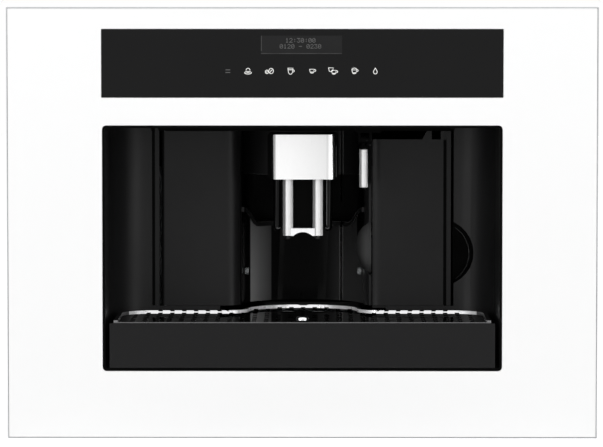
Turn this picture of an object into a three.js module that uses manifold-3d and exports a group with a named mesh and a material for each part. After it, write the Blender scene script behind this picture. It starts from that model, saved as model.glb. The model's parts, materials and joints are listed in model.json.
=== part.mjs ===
// Built-in coffee machine with a white glass front, a cup bay with a height-adjustable spout,
// a hinged service door, a pull-out water tank and drip tray, and telescopic cabinet rails.
// Units are millimetres. X points right, Y into the cabinet and Z up. The origin lies halfway along
// the line where the niche floor meets the plane that the back of the front frame rests against.
import * as THREE from 'three';
import { mergeVertices } from 'three/addons/utils/BufferGeometryUtils.js';
import Module from 'manifold-3d';

const wasm = await Module();
wasm.setup();

// ---------------------------------------------------------------- driving dimensions

// clearances and walls
const FIT = 0.3; // between pieces that rest against each other
const RUN = 0.6; // between pieces that slide past each other
const SHEET = 1.2; // sheet steel
const WALL = 2.2; // moulded liner wall
const MOULD = 3; // moulded door and cover wall
const GRAIN = 0.001; // grid that every corner lies on
const BIG_ROUND = 40; // sides of the recess and hood
const MID_ROUND = 20; // sides of cans, scoops and burrs
const SMALL_ROUND = 12; // sides of bars and bores

// front
const FRONT_WIDTH = 595;
const FRONT_HEIGHT = 435;
const FRONT_THICKNESS = 20;
const FRONT_DROP = 7; // how far the front hangs below the niche floor
const GLASS_THICKNESS = 6;
const TRIM_EDGE = 1; // metal edge that shows round the glass
const SEAT_FLANGE = 11; // width of the frame's seat against the cabinet, at the top
const CONTROL_WIDTH = 404;
const CONTROL_HEIGHT = 69;
const CONTROL_FROM_TOP = 22;
const DISPLAY_WIDTH = 82;
const DISPLAY_HEIGHT = 19;
const OPENING_WIDTH = 402.6;
const BAND_HEIGHT = 28; // white band between the control glass and the opening
const OPENING_FROM_BOTTOM = 68.3;
const OPENING_CORNER = 4;

// cup bay
const CAVITY_DEPTH = 134; // from the glass face to the bay's flat back
const CAVITY_CORNER = 45;
const BAY_CURVE = 5; // segments of the bay's and tray's corners
const STRIP_OUTER = 154; // vertical strips beside the back panels
const STRIP_INNER = 149.5;
const STRIP_GROOVE = 3;

// service door, with its round recess, wavy ledge and hood
const DOOR_LEFT = -147.1;
const DOOR_SEAM = 39.7;
const SEAM_GAP = 1.3;
const DOOR_ANGLE_CLEARANCE = 0.6;
const HINGE_ROUND = 3.5;
const PIN_RADIUS = 1.6;
const PIN_LENGTH = 12;
const HEADROOM = 7.9; // between the back panels and the bay's ceiling
const RECESS_RADIUS = 64;
const CORNER_ROUND = 18;
const POCKET_DEPTH = 73;
const POCKET_CORNER = 12;
const LEDGE_DROP = 51.8; // below the hood, in the middle
const LEDGE_RISE = 17.6;
const LEDGE_THICKNESS = 5;
const LEDGE_LIP = 2.5;
const LEDGE_WAVE = [48, 62];
const HOOD_RADIUS = 72;
const HOOD_SETBACK = 60; // from the recess's centre to the hood's
const HOOD_HEIGHT = 46;
const LAMP_X = 60; // cup lights in the recess wall
const LAMP_RISE = 33.4; // above the bottom of the panels
const LAMP_RADIUS = 3.6;

// spout
const SPOUT_WIDTH = 66;
const SPOUT_HEIGHT = 46.4;
const SPOUT_FRONT = 29; // in front of the back panels
const SPOUT_COVER_DEPTH = 30;
const SPOUT_CORNER = 5;
const SPOUT_SHELL = 2;
const GUIDE_WIDTH = 73.6;
const LEG_RADIUS = 5.3;
const LEG_SPACING = 31;
const LEG_DROP = 60.4; // below the spout cover
const BRIDGE_HEIGHT = 4;
const SIDE_BAR_RADIUS = 4.2;
const SIDE_BAR_SPACING = 52.8;
const SPOUT_TRAVEL = 35;
const NOZZLE_RADIUS = 3.3;
const NOZZLE_LENGTH = 6.5;

// hot water and steam wand
const WAND_X = 64;
const WAND_SETBACK = 34; // in front of the back panels
const WAND_LENGTH = 39.5;
const WAND_RADIUS = 4.5;
const WAND_PIVOT_DROP = 14;
const FORK_WIDTH = 13.4;
const FORK_PRONG = 2.2;

// drip tray
const TRAY_FRONT_WIDTH = 389;
const TRAY_FRONT_HEIGHT = 45.1;
const TRAY_FRONT_THICKNESS = 4;
const TRAY_WALL = 2;
const GRID_WIDTH = 381;
const GRID_THICKNESS = 1.5;
const GRID_RAISE = 0.9; // above the tray front
const GRID_LIP = 2.7;
const GRID_LIP_WIDTH = 4;
const GRID_BACK_GAP = 3;
const BULGE_DEPTH = 53;
const SLOT_WIDTH = 4.6;
const SLOT_LENGTH = 14;
const SLOT_PITCH_X = 12.3;
const SLOT_PITCH_Y = 23.5;
const DRAIN_RADIUS = 9.4;
const FLOAT_RADIUS = 8;
const FLOAT_SETBACK = 45;
const DOOR_OVER_TRAY = 3.5;

// used-coffee container behind the drip tray
const GROUNDS_LEFT = -48;
const GROUNDS_RIGHT = 66;
const GROUNDS_FRONT = 202;
const GROUNDS_LENGTH = 122;
const GROUNDS_WALL = 2;

// water tank
const TANK_LEFT = 72.5;
const TANK_STEP = 8.7; // how far the cover's ear stands above the tank
const TANK_LENGTH = 209;
const TANK_WALL = 2;
const TANK_FLAP = 76;
const LEFT_SCOOP = { radius: 34.5, x: 89.8, rise: 59.4 }; // rise above the bottom of the panels
const RIGHT_SCOOP = { radius: 35, x: 142.5, rise: 55.4 };
const SCOOP_DEPTH = 28;
const SCOOP_ROUND = 28;
const VALVE_RADIUS = 5;
const VALVE_TRAVEL = 3;

// housing
const HOUSING_WIDTH = 534;
const HOUSING_DEPTH = 385;
const HOUSING_BOTTOM = 10;
const HOUSING_FROM_TOP = 13; // below the top of the front
const DECK_OVER_BAY = 1.8; // from the liner's roof to the upper deck
const BEARER_X = 130;
const BEARER_WIDTH = 24;

// telescopic rails
const RAIL_LENGTH = 362;
const RAIL_START = 12;
const RAIL_HEIGHT = 45;
const RAIL_THICKNESS = 12.7;
const RAIL_CENTRE = 60;
const RAIL_SHEET = 1.5;

// grinder, hopper and funnel
const GRINDER_X = -100;
const GRINDER_Y = 255;
const GRINDER_RADIUS = 38;
const GRINDER_HEIGHT = 38;
const BURR_RADIUS = 24;
const BURR_TEETH = 18;
const MOTOR_RADIUS = 26;
const MOTOR_LENGTH = 88;
const HOPPER_WIDTH = 170;
const HOPPER_DEPTH = 180;
const HOPPER_WALL = 2.5;
const LID_THICKNESS = 2.5;
const FUNNEL_X = 20;
const FUNNEL_Y = 262;
const FUNNEL_WIDTH = 62;
const KNOB_RADIUS = 14;

// mains inlet and rocker switch on the back
const INLET_X = 200;
const INLET_Z = 70;
const SWITCH_X = 150;
const ROCKER_HALF = [5.5, 10];
const ROCKER_TILT = 10; // degrees from the middle, at rest
const ROCKER_PIVOT = 4; // in front of the rear panel's back face
const ROCKER_PIN = 1.2;

// brew unit
const BREW_X = 0;
const BREW_FRONT = 228;
const BREW_DEPTH = 96;
const BREW_WIDTH = 92;
const BREW_BOTTOM = 160;
const CHAMBER_RADIUS = 24;
const CHAMBER_HEIGHT = 52;
const BREW_TRAVEL = 34;
const BUTTON_TRAVEL = 4;

// water
const PUMP_LENGTH = 104;
const BOILER_HEIGHT = 96;
const COFFEE_BOILER_RADIUS = 34;
const STEAM_BOILER_RADIUS = 30;
const HOSE_RADIUS = 3;

// ---------------------------------------------------------------- derived places

const faceY = -FRONT_THICKNESS;
const frontBottom = -FRONT_DROP;
const frontTop = frontBottom + FRONT_HEIGHT;
const frontHalf = FRONT_WIDTH / 2;

const controlTop = frontTop - CONTROL_FROM_TOP;
const controlBottom = controlTop - CONTROL_HEIGHT;
const controlHalf = CONTROL_WIDTH / 2;

const openingHalf = OPENING_WIDTH / 2;
const openingBottom = frontBottom + OPENING_FROM_BOTTOM;
const openingTop = controlBottom - BAND_HEIGHT;

const cavityHalf = openingHalf - FIT - WALL;
const cavityFloor = openingBottom + FIT + WALL;
const cavityCeiling = openingTop - FIT - WALL;
const cavityBack = faceY + CAVITY_DEPTH;
const cavityArcX = cavityHalf - CAVITY_CORNER;

const trayFloor = cavityFloor + RUN;
const trayTop = trayFloor + TRAY_FRONT_HEIGHT;
const gridTop = trayTop + GRID_RAISE;
const lipTop = gridTop + GRID_LIP;
const panelBottom = lipTop + DOOR_OVER_TRAY;
const panelTop = cavityCeiling - HEADROOM;

const recessY = cavityBack + CORNER_ROUND;
const cornerX = RECESS_RADIUS + CORNER_ROUND;
const pocketBack = recessY + POCKET_DEPTH;
const hoodY = recessY + HOOD_SETBACK;
const hoodBottom = panelTop - HOOD_HEIGHT;
const ledgeTop = hoodBottom - LEDGE_DROP;
const ledgeEnd = ledgeTop + LEDGE_RISE;
const columnRight = TANK_LEFT - RUN;

const lampZ = panelBottom + LAMP_RISE;

const hingeX = DOOR_LEFT + HINGE_ROUND;
const hingeY = cavityBack + HINGE_ROUND;

const deckTop = openingTop + DECK_OVER_BAY + SHEET;
const deckBottom = openingTop + DECK_OVER_BAY;
const housingHalf = HOUSING_WIDTH / 2;
const housingTop = frontTop - HOUSING_FROM_TOP;

// ---------------------------------------------------------------- materials

function material(color, roughness, metalness = 0) {
  return new THREE.MeshStandardMaterial({ color, roughness, metalness });
}

const whiteGlass = material('#fbfbfb', 0.08);
const blackGlass = material('#141416', 0.06);
const blackPlastic = material('#1d1d1f', 0.42);
const glossBlack = material('#0c0c0d', 0.12);
const greyPlastic = material('#3a3b3d', 0.5);
const chrome = material('#e4e6e8', 0.12, 1);
const brushed = material('#cfd1d3', 0.3, 1);
const zinc = material('#a9acae', 0.45, 1);
const steel = material('#8d9093', 0.35, 1);
const clear = material('#c9d4d8', 0.1);
const board = material('#1d5a38', 0.6);
const rubber = material('#e9e6df', 0.6);
const red = material('#a3271d', 0.5);

// ---------------------------------------------------------------- solid helpers

// a closed solid from a geometry, with its corners on a fine grid so that equal sizes meet exactly
function solid(geometry) {
  const bare = new THREE.BufferGeometry();
  const corner = Array.from(geometry.getAttribute('position').array, (v) => Math.round(v / GRAIN) * GRAIN);
  bare.setAttribute('position', new THREE.Float32BufferAttribute(corner, 3));
  bare.setIndex(geometry.getIndex());
  const merged = mergeVertices(bare, 1e-4);
  const corners = merged.getIndex().array;
  const kept = [];
  for (let i = 0; i < corners.length; i += 3) {
    const [a, b, c] = [corners[i], corners[i + 1], corners[i + 2]];
    if (a !== b && b !== c && c !== a) kept.push(a, b, c);
  }
  const vertProperties = Float32Array.from(merged.getAttribute('position').array);
  return new wasm.Manifold(new wasm.Mesh({ numProp: 3, vertProperties, triVerts: Uint32Array.from(kept) }));
}

function geometryOf(body) {
  const mesh = body.getMesh();
  const geometry = new THREE.BufferGeometry();
  geometry.setAttribute('position', new THREE.BufferAttribute(mesh.vertProperties, 3));
  geometry.setIndex(new THREE.BufferAttribute(mesh.triVerts, 1));
  return geometry;
}

function join(...bodies) {
  return bodies.reduce((whole, body) => whole.add(body));
}

function cut(body, ...tools) {
  return tools.reduce((rest, tool) => rest.subtract(tool), body);
}

function box([x0, x1], [y0, y1], [z0, z1]) {
  const geometry = new THREE.BoxGeometry(x1 - x0, y1 - y0, z1 - z0);
  geometry.translate((x0 + x1) / 2, (y0 + y1) / 2, (z0 + z1) / 2);
  return solid(geometry);
}

function extruded(shape, depth, curveSegments) {
  return new THREE.ExtrudeGeometry(shape, { depth, bevelEnabled: false, curveSegments });
}

// an outline seen from above, raised from z0 to z1
function raised(shape, z0, z1, curveSegments = 4) {
  const geometry = extruded(shape, z1 - z0, curveSegments);
  geometry.translate(0, 0, z0);
  return solid(geometry);
}

// an outline seen from the front, in X and Z, pushed back from y0 to y1
function pushed(shape, y0, y1, curveSegments = 4) {
  const geometry = extruded(shape, y1 - y0, curveSegments);
  geometry.rotateX(Math.PI / 2);
  geometry.translate(0, y1, 0);
  return solid(geometry);
}

// an outline seen from the side, in Y and Z, drawn across from x0 to x1
function across(shape, x0, x1, curveSegments = 4) {
  const geometry = extruded(shape, x1 - x0, curveSegments);
  const turn = new THREE.Matrix4().makeBasis(
    new THREE.Vector3(0, 1, 0),
    new THREE.Vector3(0, 0, 1),
    new THREE.Vector3(1, 0, 0),
  );
  geometry.applyMatrix4(turn);
  geometry.translate(x0, 0, 0);
  return solid(geometry);
}

function outline(points) {
  return new THREE.Shape(points.map(([a, b]) => new THREE.Vector2(a, b)));
}

function roundedRect([a0, a1], [b0, b1], radius) {
  const shape = new THREE.Shape();
  shape.moveTo(a0 + radius, b0);
  shape.absarc(a1 - radius, b0 + radius, radius, -Math.PI / 2, 0);
  shape.absarc(a1 - radius, b1 - radius, radius, 0, Math.PI / 2);
  shape.absarc(a0 + radius, b1 - radius, radius, Math.PI / 2, Math.PI);
  shape.absarc(a0 + radius, b0 + radius, radius, Math.PI, 1.5 * Math.PI);
  return shape;
}

// a round bar standing on Z, or lying along X or Y
function bar(axis, radius, [a, b], from, to, sides = SMALL_ROUND) {
  const geometry = new THREE.CylinderGeometry(radius, radius, to - from, sides);
  const middle = (from + to) / 2;
  if (axis === 'x') {
    geometry.rotateZ(Math.PI / 2);
    geometry.translate(middle, a, b);
  } else if (axis === 'y') {
    geometry.translate(a, middle, b);
  } else {
    geometry.rotateX(Math.PI / 2);
    geometry.translate(a, b, middle);
  }
  return solid(geometry);
}

// a turned piece round the Z axis, from [radius, height] pairs that start and end on the axis
function turned(profile, sides = MID_ROUND) {
  const geometry = new THREE.LatheGeometry(profile.map(([r, z]) => new THREE.Vector2(r, z)), sides);
  geometry.rotateX(Math.PI / 2);
  return solid(geometry);
}

function moved(body, x, y, z) {
  const geometry = geometryOf(body);
  geometry.translate(x, y, z);
  return solid(geometry);
}

const machine = new THREE.Group();

function place(name, body, look, x = 0, y = 0, z = 0) {
  const mesh = new THREE.Mesh(geometryOf(body), look);
  mesh.name = name;
  mesh.position.set(x, y, z);
  machine.add(mesh);
  return mesh;
}

// ---------------------------------------------------------------- front

function controlWindow(clearance, y0, y1) {
  return box(
    [-controlHalf - clearance, controlHalf + clearance],
    [y0, y1],
    [controlBottom - clearance, controlTop + clearance],
  );
}

function bayWindow(clearance, y0, y1) {
  const shape = roundedRect(
    [-openingHalf - clearance, openingHalf + clearance],
    [openingBottom - clearance, openingTop + clearance],
    OPENING_CORNER + clearance,
  );
  return pushed(shape, y0, y1, 2);
}

const glassBack = faceY + GLASS_THICKNESS;

function frontGlass() {
  const margin = TRIM_EDGE + FIT;
  const pane = box(
    [-frontHalf + margin, frontHalf - margin],
    [faceY, glassBack],
    [frontBottom + margin, frontTop - margin],
  );
  return cut(pane, controlWindow(0, faceY - 1, 0), bayWindow(0, faceY - 1, 0));
}

// a shallow metal tray that holds the glass, with its wide seat against the cabinet round the back
function frontFrame() {
  const lip = 0.5;
  const web = 3;
  const ledge = glassBack + FIT;
  const whole = box([-frontHalf, frontHalf], [faceY + lip, 0], [frontBottom, frontTop]);
  const glassPocket = box(
    [-frontHalf + TRIM_EDGE, frontHalf - TRIM_EDGE],
    [faceY - 1, ledge],
    [frontBottom + TRIM_EDGE, frontTop - TRIM_EDGE],
  );
  const backPocket = box(
    [-housingHalf - FIT * 10, housingHalf + FIT * 10],
    [ledge + web, 1],
    [HOUSING_BOTTOM - 1.5, frontTop - SEAT_FLANGE],
  );
  return cut(
    whole,
    glassPocket,
    backPocket,
    controlWindow(0, faceY, 0),
    bayWindow(FIT, faceY, 0),
  );
}

const controlGlassBack = faceY + 4;
const displayBack = controlGlassBack + FIT + 5;

function controlGlass() {
  return controlWindow(-FIT, faceY, controlGlassBack);
}

function displayModule() {
  const x = [-DISPLAY_WIDTH / 2 - 1, DISPLAY_WIDTH / 2 - 1];
  const z = [controlTop - 6 - DISPLAY_HEIGHT, controlTop - 6];
  return box(x, [controlGlassBack + FIT, displayBack], z);
}

// the board behind the control glass, with one spring contact for each touch key
function controlBoard() {
  const thickness = 1.6;
  const keyZ = controlTop - 42;
  const bodies = [
    box([-controlHalf + 30, controlHalf - 30], [displayBack + FIT, displayBack + FIT + thickness],
      [controlBottom + 6, controlTop - 4]),
  ];
  for (let key = 0; key < 8; key += 1) {
    const x = -74.6 + key * 21.2;
    bodies.push(bar('y', 4, [x, keyZ], controlGlassBack + FIT, displayBack + FIT + 0.5, 8));
  }
  for (const side of [-1, 1]) {
    const x = side * (controlHalf - 20);
    bodies.push(box([Math.min(x, side * 100), Math.max(x, side * 100)],
      [displayBack + FIT + 0.2, displayBack + FIT + 1.4], [controlBottom + 20, controlBottom + 32]));
  }
  return join(...bodies);
}

place('front_frame', frontFrame(), zinc);
place('front_glass', frontGlass(), whiteGlass);
place('control_glass', controlGlass(), blackGlass);
place('display_module', displayModule(), glossBlack);
place('control_board', controlBoard(), board);

// ---------------------------------------------------------------- cup bay liner

// the bay's plan: straight sides, quarter-round back corners and a flat back
function bayPlan(grow, front, back = cavityBack + grow) {
  const half = cavityHalf + grow;
  const radius = CAVITY_CORNER + grow;
  const shape = new THREE.Shape();
  shape.moveTo(-half, front);
  shape.lineTo(half, front);
  shape.absarc(cavityArcX, back - radius, radius, 0, Math.PI / 2);
  shape.absarc(-cavityArcX, back - radius, radius, Math.PI / 2, Math.PI);
  return shape;
}

const bayRearHalf = cornerX + 4.5; // half width of the lower bay behind the back panels
const bayRearBack = GROUNDS_FRONT + GROUNDS_LENGTH + 8;

function scoop({ radius, x, rise }, wall, y0, y1) {
  return bar('y', radius + wall, [x, panelBottom + rise], y0, y1, SCOOP_ROUND);
}

function cavityLiner() {
  const roof = cavityCeiling + WALL;
  const floor = cavityFloor - WALL;
  const outer = raised(bayPlan(WALL, faceY), floor, roof, BAY_CURVE);
  const inner = raised(bayPlan(0, faceY - 1), cavityFloor, cavityCeiling, BAY_CURVE);
  const backOpening = box([STRIP_INNER * -1, STRIP_OUTER + STRIP_GROOVE], [cavityBack - 1, cavityBack + 9],
    [panelBottom - FIT, panelTop + FIT]);
  const lowerOpening = box([-bayRearHalf, bayRearHalf], [cavityBack - 1, cavityBack + 9],
    [cavityFloor, panelBottom]);
  const rearBay = cut(
    box([-bayRearHalf - WALL, bayRearHalf + WALL], [cavityBack, bayRearBack + WALL], [floor, trayTop]),
    box([-bayRearHalf, bayRearHalf], [cavityBack - 1, bayRearBack], [cavityFloor, panelBottom]),
  );
  const grooveBacking = box([-STRIP_OUTER - STRIP_GROOVE - WALL, -STRIP_OUTER + WALL],
    [cavityBack + 1, cavityBack + WALL + 2], [panelBottom, panelTop]);
  const groove = box([-STRIP_OUTER - STRIP_GROOVE, -STRIP_OUTER], [cavityBack - 1, cavityBack + 2],
    [panelBottom, panelTop]);
  const scoopBack = cavityBack + SCOOP_DEPTH;
  const bayVolume = raised(bayPlan(0.01, faceY - 1), cavityFloor, cavityCeiling, BAY_CURVE);
  const dish = cut(
    scoop(RIGHT_SCOOP, WALL, cavityBack - 22, scoopBack + WALL).intersect(
      box([STRIP_OUTER + STRIP_GROOVE, housingHalf], [0, scoopBack + WALL], [cavityFloor, cavityCeiling])),
    bayVolume,
  );
  const hingeEars = [panelBottom - FIT - 6, panelTop + FIT].map((z) =>
    box([DOOR_LEFT - 6, hingeX + 5], [cavityBack + 0.5, hingeY + 5], [z, z + 6]));
  const pinHoles = bar('z', PIN_RADIUS + FIT, [hingeX, hingeY], cavityFloor, cavityCeiling);
  const shell = join(cut(outer, inner), rearBay, grooveBacking, dish, ...hingeEars)
    .intersect(bayWindow(-FIT, faceY - 1, HOUSING_DEPTH));
  const doorSpace = box([-STRIP_INNER, STRIP_OUTER + STRIP_GROOVE], [cavityBack - 1, hingeY + 6],
    [panelBottom - FIT, panelTop + FIT]);
  return cut(shell, backOpening, lowerOpening, groove, doorSpace, pinHoles,
    scoop(RIGHT_SCOOP, 0, cavityBack - 30, scoopBack).intersect(
      box([STRIP_OUTER + STRIP_GROOVE, housingHalf], [0, scoopBack], [cavityFloor, cavityCeiling])));
}

place('cavity_liner', cavityLiner(), blackPlastic);

// ---------------------------------------------------------------- back moulding

// the height of the wavy ledge, drawn from x = -wide to x = wide and closed at the height given
function ledgeShape(offset, wide, closeAt) {
  const low = ledgeTop + offset;
  const high = ledgeEnd + offset;
  const [start, end] = LEDGE_WAVE;
  const middle = (start + end) / 2;
  const shape = new THREE.Shape();
  shape.moveTo(-wide, high);
  shape.lineTo(-end, high);
  shape.bezierCurveTo(-middle, high, -middle, low, -start, low);
  shape.lineTo(start, low);
  shape.bezierCurveTo(middle, low, middle, high, end, high);
  shape.lineTo(wide, high);
  shape.lineTo(wide, closeAt);
  shape.lineTo(-wide, closeAt);
  return shape;
}

function pocketPlan(grow) {
  const half = RECESS_RADIUS + grow;
  const radius = POCKET_CORNER + grow;
  const back = pocketBack + grow;
  const shape = new THREE.Shape();
  shape.moveTo(-half, recessY);
  shape.lineTo(half, recessY);
  shape.absarc(half - radius, back - radius, radius, 0, Math.PI / 2);
  shape.absarc(radius - half, back - radius, radius, Math.PI / 2, Math.PI);
  return shape;
}

// a convex corner between a flat back panel and the recess, on the side given
function cornerBand(side) {
  const from = side < 0 ? -Math.PI / 2 : Math.PI;
  const shape = new THREE.Shape();
  shape.absarc(side * cornerX, recessY, CORNER_ROUND, from, from + Math.PI / 2);
  shape.absarc(side * cornerX, recessY, CORNER_ROUND - MOULD, from + Math.PI / 2, from, true);
  return raised(shape, panelBottom, panelTop, 4);
}

function recessDrum(radius, z0, z1) {
  return bar('z', radius, [0, recessY], z0, z1, BIG_ROUND);
}

function backMoulding() {
  const panel = box([hingeX, -cornerX], [cavityBack, cavityBack + MOULD], [panelBottom, panelTop]);
  const knuckle = bar('z', HINGE_ROUND, [hingeX, hingeY], panelBottom, panelTop, 16);
  const flanges = [panelBottom, panelTop - MOULD].map((z) =>
    box([hingeX, -cornerX], [cavityBack + 1, cavityBack + 14], [z, z + MOULD]));

  const behind = box([-100, 100], [recessY, 260], [panelBottom, panelTop]);
  const lowerWall = cut(
    cut(recessDrum(RECESS_RADIUS + MOULD, panelBottom, ledgeEnd),
      recessDrum(RECESS_RADIUS, panelBottom - 1, ledgeEnd + 1)).intersect(behind),
    pushed(ledgeShape(-1, 100, panelTop), cavityBack, 260),
  );
  const pocketWall = cut(
    raised(pocketPlan(MOULD), ledgeTop - LEDGE_THICKNESS, panelTop),
    raised(pocketPlan(0), 0, panelTop + 1),
    box([-RECESS_RADIUS, RECESS_RADIUS], [cavityBack, recessY + 5], [0, panelTop + 1]),
    pushed(ledgeShape(-LEDGE_THICKNESS, 100, 0), cavityBack, 260),
  );
  const ledge = cut(
    pushed(ledgeShape(0, 100, ledgeTop - LEDGE_THICKNESS), cavityBack, 260).intersect(
      raised(pocketPlan(1), 0, panelTop)),
    pushed(ledgeShape(-LEDGE_THICKNESS, 101, 0), cavityBack - 1, 261),
    recessDrum(RECESS_RADIUS - LEDGE_LIP, 0, panelTop),
  );
  const hoodDisc = (radius, z0, z1) => bar('z', radius, [0, hoodY], z0, z1, BIG_ROUND)
    .intersect(raised(pocketPlan(1), z0, z1).add(box([-RECESS_RADIUS - 1, RECESS_RADIUS + 1],
      [cavityBack, recessY + 1], [z0, z1])));
  const hood = cut(
    hoodDisc(HOOD_RADIUS, hoodBottom, panelTop),
    bar('z', HOOD_RADIUS - MOULD, [0, hoodY], hoodBottom + MOULD, panelTop + 1, BIG_ROUND)
      .intersect(box([-RECESS_RADIUS, RECESS_RADIUS], [cavityBack, 260], [0, panelTop + 1])),
  );
  return join(panel, knuckle, ...flanges, cornerBand(-1), cornerBand(1), lowerWall, pocketWall, ledge, hood);
}

// the room that the door sweeps round its hinge, wider where the recess reaches deeper
function swingRoom(grow) {
  const reach = (x, y) => Math.hypot(x - hingeX, y - hingeY) + grow;
  const wallReach = reach(DOOR_SEAM, recessY + Math.sqrt((RECESS_RADIUS + MOULD) ** 2 - DOOR_SEAM ** 2));
  const lipReach = reach(DOOR_SEAM, recessY + Math.sqrt(RECESS_RADIUS ** 2 - DOOR_SEAM ** 2));
  const pocketReach = reach(DOOR_SEAM, pocketBack + MOULD);
  const hoodReach = reach(DOOR_SEAM, hoodY - Math.sqrt((HOOD_RADIUS - MOULD) ** 2 - DOOR_SEAM ** 2));
  const ledgeBottom = ledgeTop - LEDGE_THICKNESS - 1;
  const profile = [
    [0, panelBottom - 5],
    [wallReach, panelBottom - 5],
    [wallReach, ledgeBottom],
    [lipReach, ledgeBottom],
    [lipReach, ledgeEnd + 1],
    [pocketReach, ledgeEnd + 1],
    [pocketReach, hoodBottom - 1],
    [hoodReach, hoodBottom - 1],
    [hoodReach, panelTop + 5],
    [0, panelTop + 5],
  ];
  return moved(turned(profile, 64), hingeX, hingeY, 0);
}

const moulding = backMoulding();

function serviceDoor() {
  const leftOfSeam = box([-200, DOOR_SEAM], [0, 300], [0, 400]);
  const pinBore = 10;
  const bores = [[panelBottom - 1, panelBottom + pinBore], [panelTop - pinBore, panelTop + 1]].map(
    ([z0, z1]) => bar('z', PIN_RADIUS + FIT, [hingeX, hingeY], z0, z1));
  const lampHole = lampBody(-1, FIT);
  return cut(moulding.intersect(leftOfSeam).intersect(swingRoom(0)), ...bores, lampHole);
}

// a small round lens that looks across the recess, seated in its wall
function lampBody(side, grow) {
  const depth = Math.sqrt(RECESS_RADIUS ** 2 - LAMP_X ** 2);
  const inner = side * (LAMP_X - 3);
  const outer = side * (LAMP_X + 6 + grow);
  return bar('x', LAMP_RADIUS + grow, [recessY + depth, lampZ], Math.min(inner, outer),
    Math.max(inner, outer));
}

function rightColumn() {
  const rightOfSeam = box([DOOR_SEAM + SEAM_GAP, columnRight], [0, 300], [0, 400]);
  const fringe = box([0, columnRight], [recessY, 300], [0, 400]);
  const outside = cut(moulding, swingRoom(DOOR_ANGLE_CLEARANCE));
  const fixedPart = outside.intersect(rightOfSeam).add(outside.intersect(
    cut(fringe, box([-1, DOOR_SEAM + SEAM_GAP], [0, pocketBack - 20], [0, ledgeTop - 6]))));
  const sideWall = box([columnRight - MOULD, columnRight], [recessY - 14, TANK_LENGTH + cavityBack + 8],
    [panelBottom, panelTop]);
  const scoopBack = cavityBack + SCOOP_DEPTH + 22;
  const dish = cut(
    scoop(LEFT_SCOOP, MOULD, recessY, scoopBack + MOULD).intersect(
      box([DOOR_SEAM, columnRight], [recessY, scoopBack + MOULD], [panelBottom, panelTop])),
    recessDrum(RECESS_RADIUS + 0.01, 0, panelTop),
  );
  return cut(join(fixedPart, sideWall, dish), scoop(LEFT_SCOOP, 0, cavityBack - 10, scoopBack),
    lampBody(1, FIT));
}

place('service_door', serviceDoor(), blackPlastic);
place('right_column', rightColumn(), blackPlastic);
for (const [name, z] of [['hinge_pin_bottom', panelBottom - 5], ['hinge_pin_top', panelTop + 5 - PIN_LENGTH]]) {
  place(name, bar('z', PIN_RADIUS, [0, 0], 0, PIN_LENGTH), steel, hingeX, hingeY, z);
}
place('cup_light_left', lampBody(-1, 0), clear);
place('cup_light_right', lampBody(1, 0), clear);

// ---------------------------------------------------------------- spout

const spoutFrontY = cavityBack - SPOUT_FRONT;
const spoutCoverBack = spoutFrontY + SPOUT_COVER_DEPTH;
const spoutTop = panelTop - 2.6;
const spoutBottom = spoutTop - SPOUT_HEIGHT;
const spoutInner = SPOUT_WIDTH / 2 - SPOUT_SHELL;
const legY = spoutFrontY + 18;
const legBottom = spoutBottom - LEG_DROP;
const carriageTop = spoutTop - SPOUT_SHELL - RUN - SPOUT_TRAVEL;
const coreFront = legY + LEG_RADIUS + FIT;

function spoutCover() {
  const half = SPOUT_WIDTH / 2;
  const outer = raised(roundedRect([-half, half], [spoutFrontY, spoutCoverBack + SPOUT_CORNER], SPOUT_CORNER),
    spoutBottom, spoutTop, 3);
  const inner = raised(
    roundedRect([-spoutInner, spoutInner], [spoutFrontY + SPOUT_SHELL, spoutCoverBack + 9],
      SPOUT_CORNER - SPOUT_SHELL),
    spoutBottom - 1, spoutTop - SPOUT_SHELL, 3);
  const behind = box([-half - 1, half + 1], [spoutCoverBack, spoutCoverBack + 20], [spoutBottom - 2, spoutTop + 1]);
  return cut(outer, inner, behind);
}

// the block behind the cover, shaped to the hood and rounded at its lower corners
function spoutGuide() {
  const half = GUIDE_WIDTH / 2;
  const shape = roundedRect([-half, half], [spoutBottom - 0.6, panelTop - 1.5], 4);
  const block = pushed(shape, spoutCoverBack + FIT, hoodY, 2);
  return cut(block, bar('z', HOOD_RADIUS + FIT, [0, hoodY], 0, 400, BIG_ROUND));
}

function spoutCarriage() {
  const legX = LEG_SPACING / 2;
  const legs = [-1, 1].map((side) => bar('z', LEG_RADIUS, [side * legX, legY], legBottom, carriageTop, MID_ROUND));
  const bores = [-1, 1].map((side) =>
    bar('z', NOZZLE_RADIUS + FIT, [side * legX, legY], legBottom - 1, legBottom + 4.2));
  const bridge = box([-legX, legX], [legY - LEG_RADIUS + 1, legY + LEG_RADIUS], [legBottom, legBottom + 8]);
  const arch = bar('y', 9, [0, legBottom - 9 + BRIDGE_HEIGHT], legY - 10, legY + 10, 28);
  return cut(join(bridge, ...legs), arch, ...bores);
}

// the black core behind the legs, with a rounded bar down each side
function carriageCore() {
  const barX = SIDE_BAR_SPACING / 2;
  const barBottom = legBottom + 5.5;
  const barY = coreFront + 1.8;
  const bars = [-1, 1].flatMap((side) => {
    const tip = new THREE.SphereGeometry(SIDE_BAR_RADIUS, SMALL_ROUND, 6);
    tip.rotateX(Math.PI / 2);
    tip.translate(side * barX, barY, barBottom + SIDE_BAR_RADIUS);
    return [
      bar('z', SIDE_BAR_RADIUS, [side * barX, barY], barBottom + SIDE_BAR_RADIUS, carriageTop),
      solid(tip),
    ];
  });
  const plate = box([-barX, barX], [coreFront, coreFront + 4], [legBottom + 8.5, carriageTop]);
  return join(plate, ...bars);
}

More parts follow.
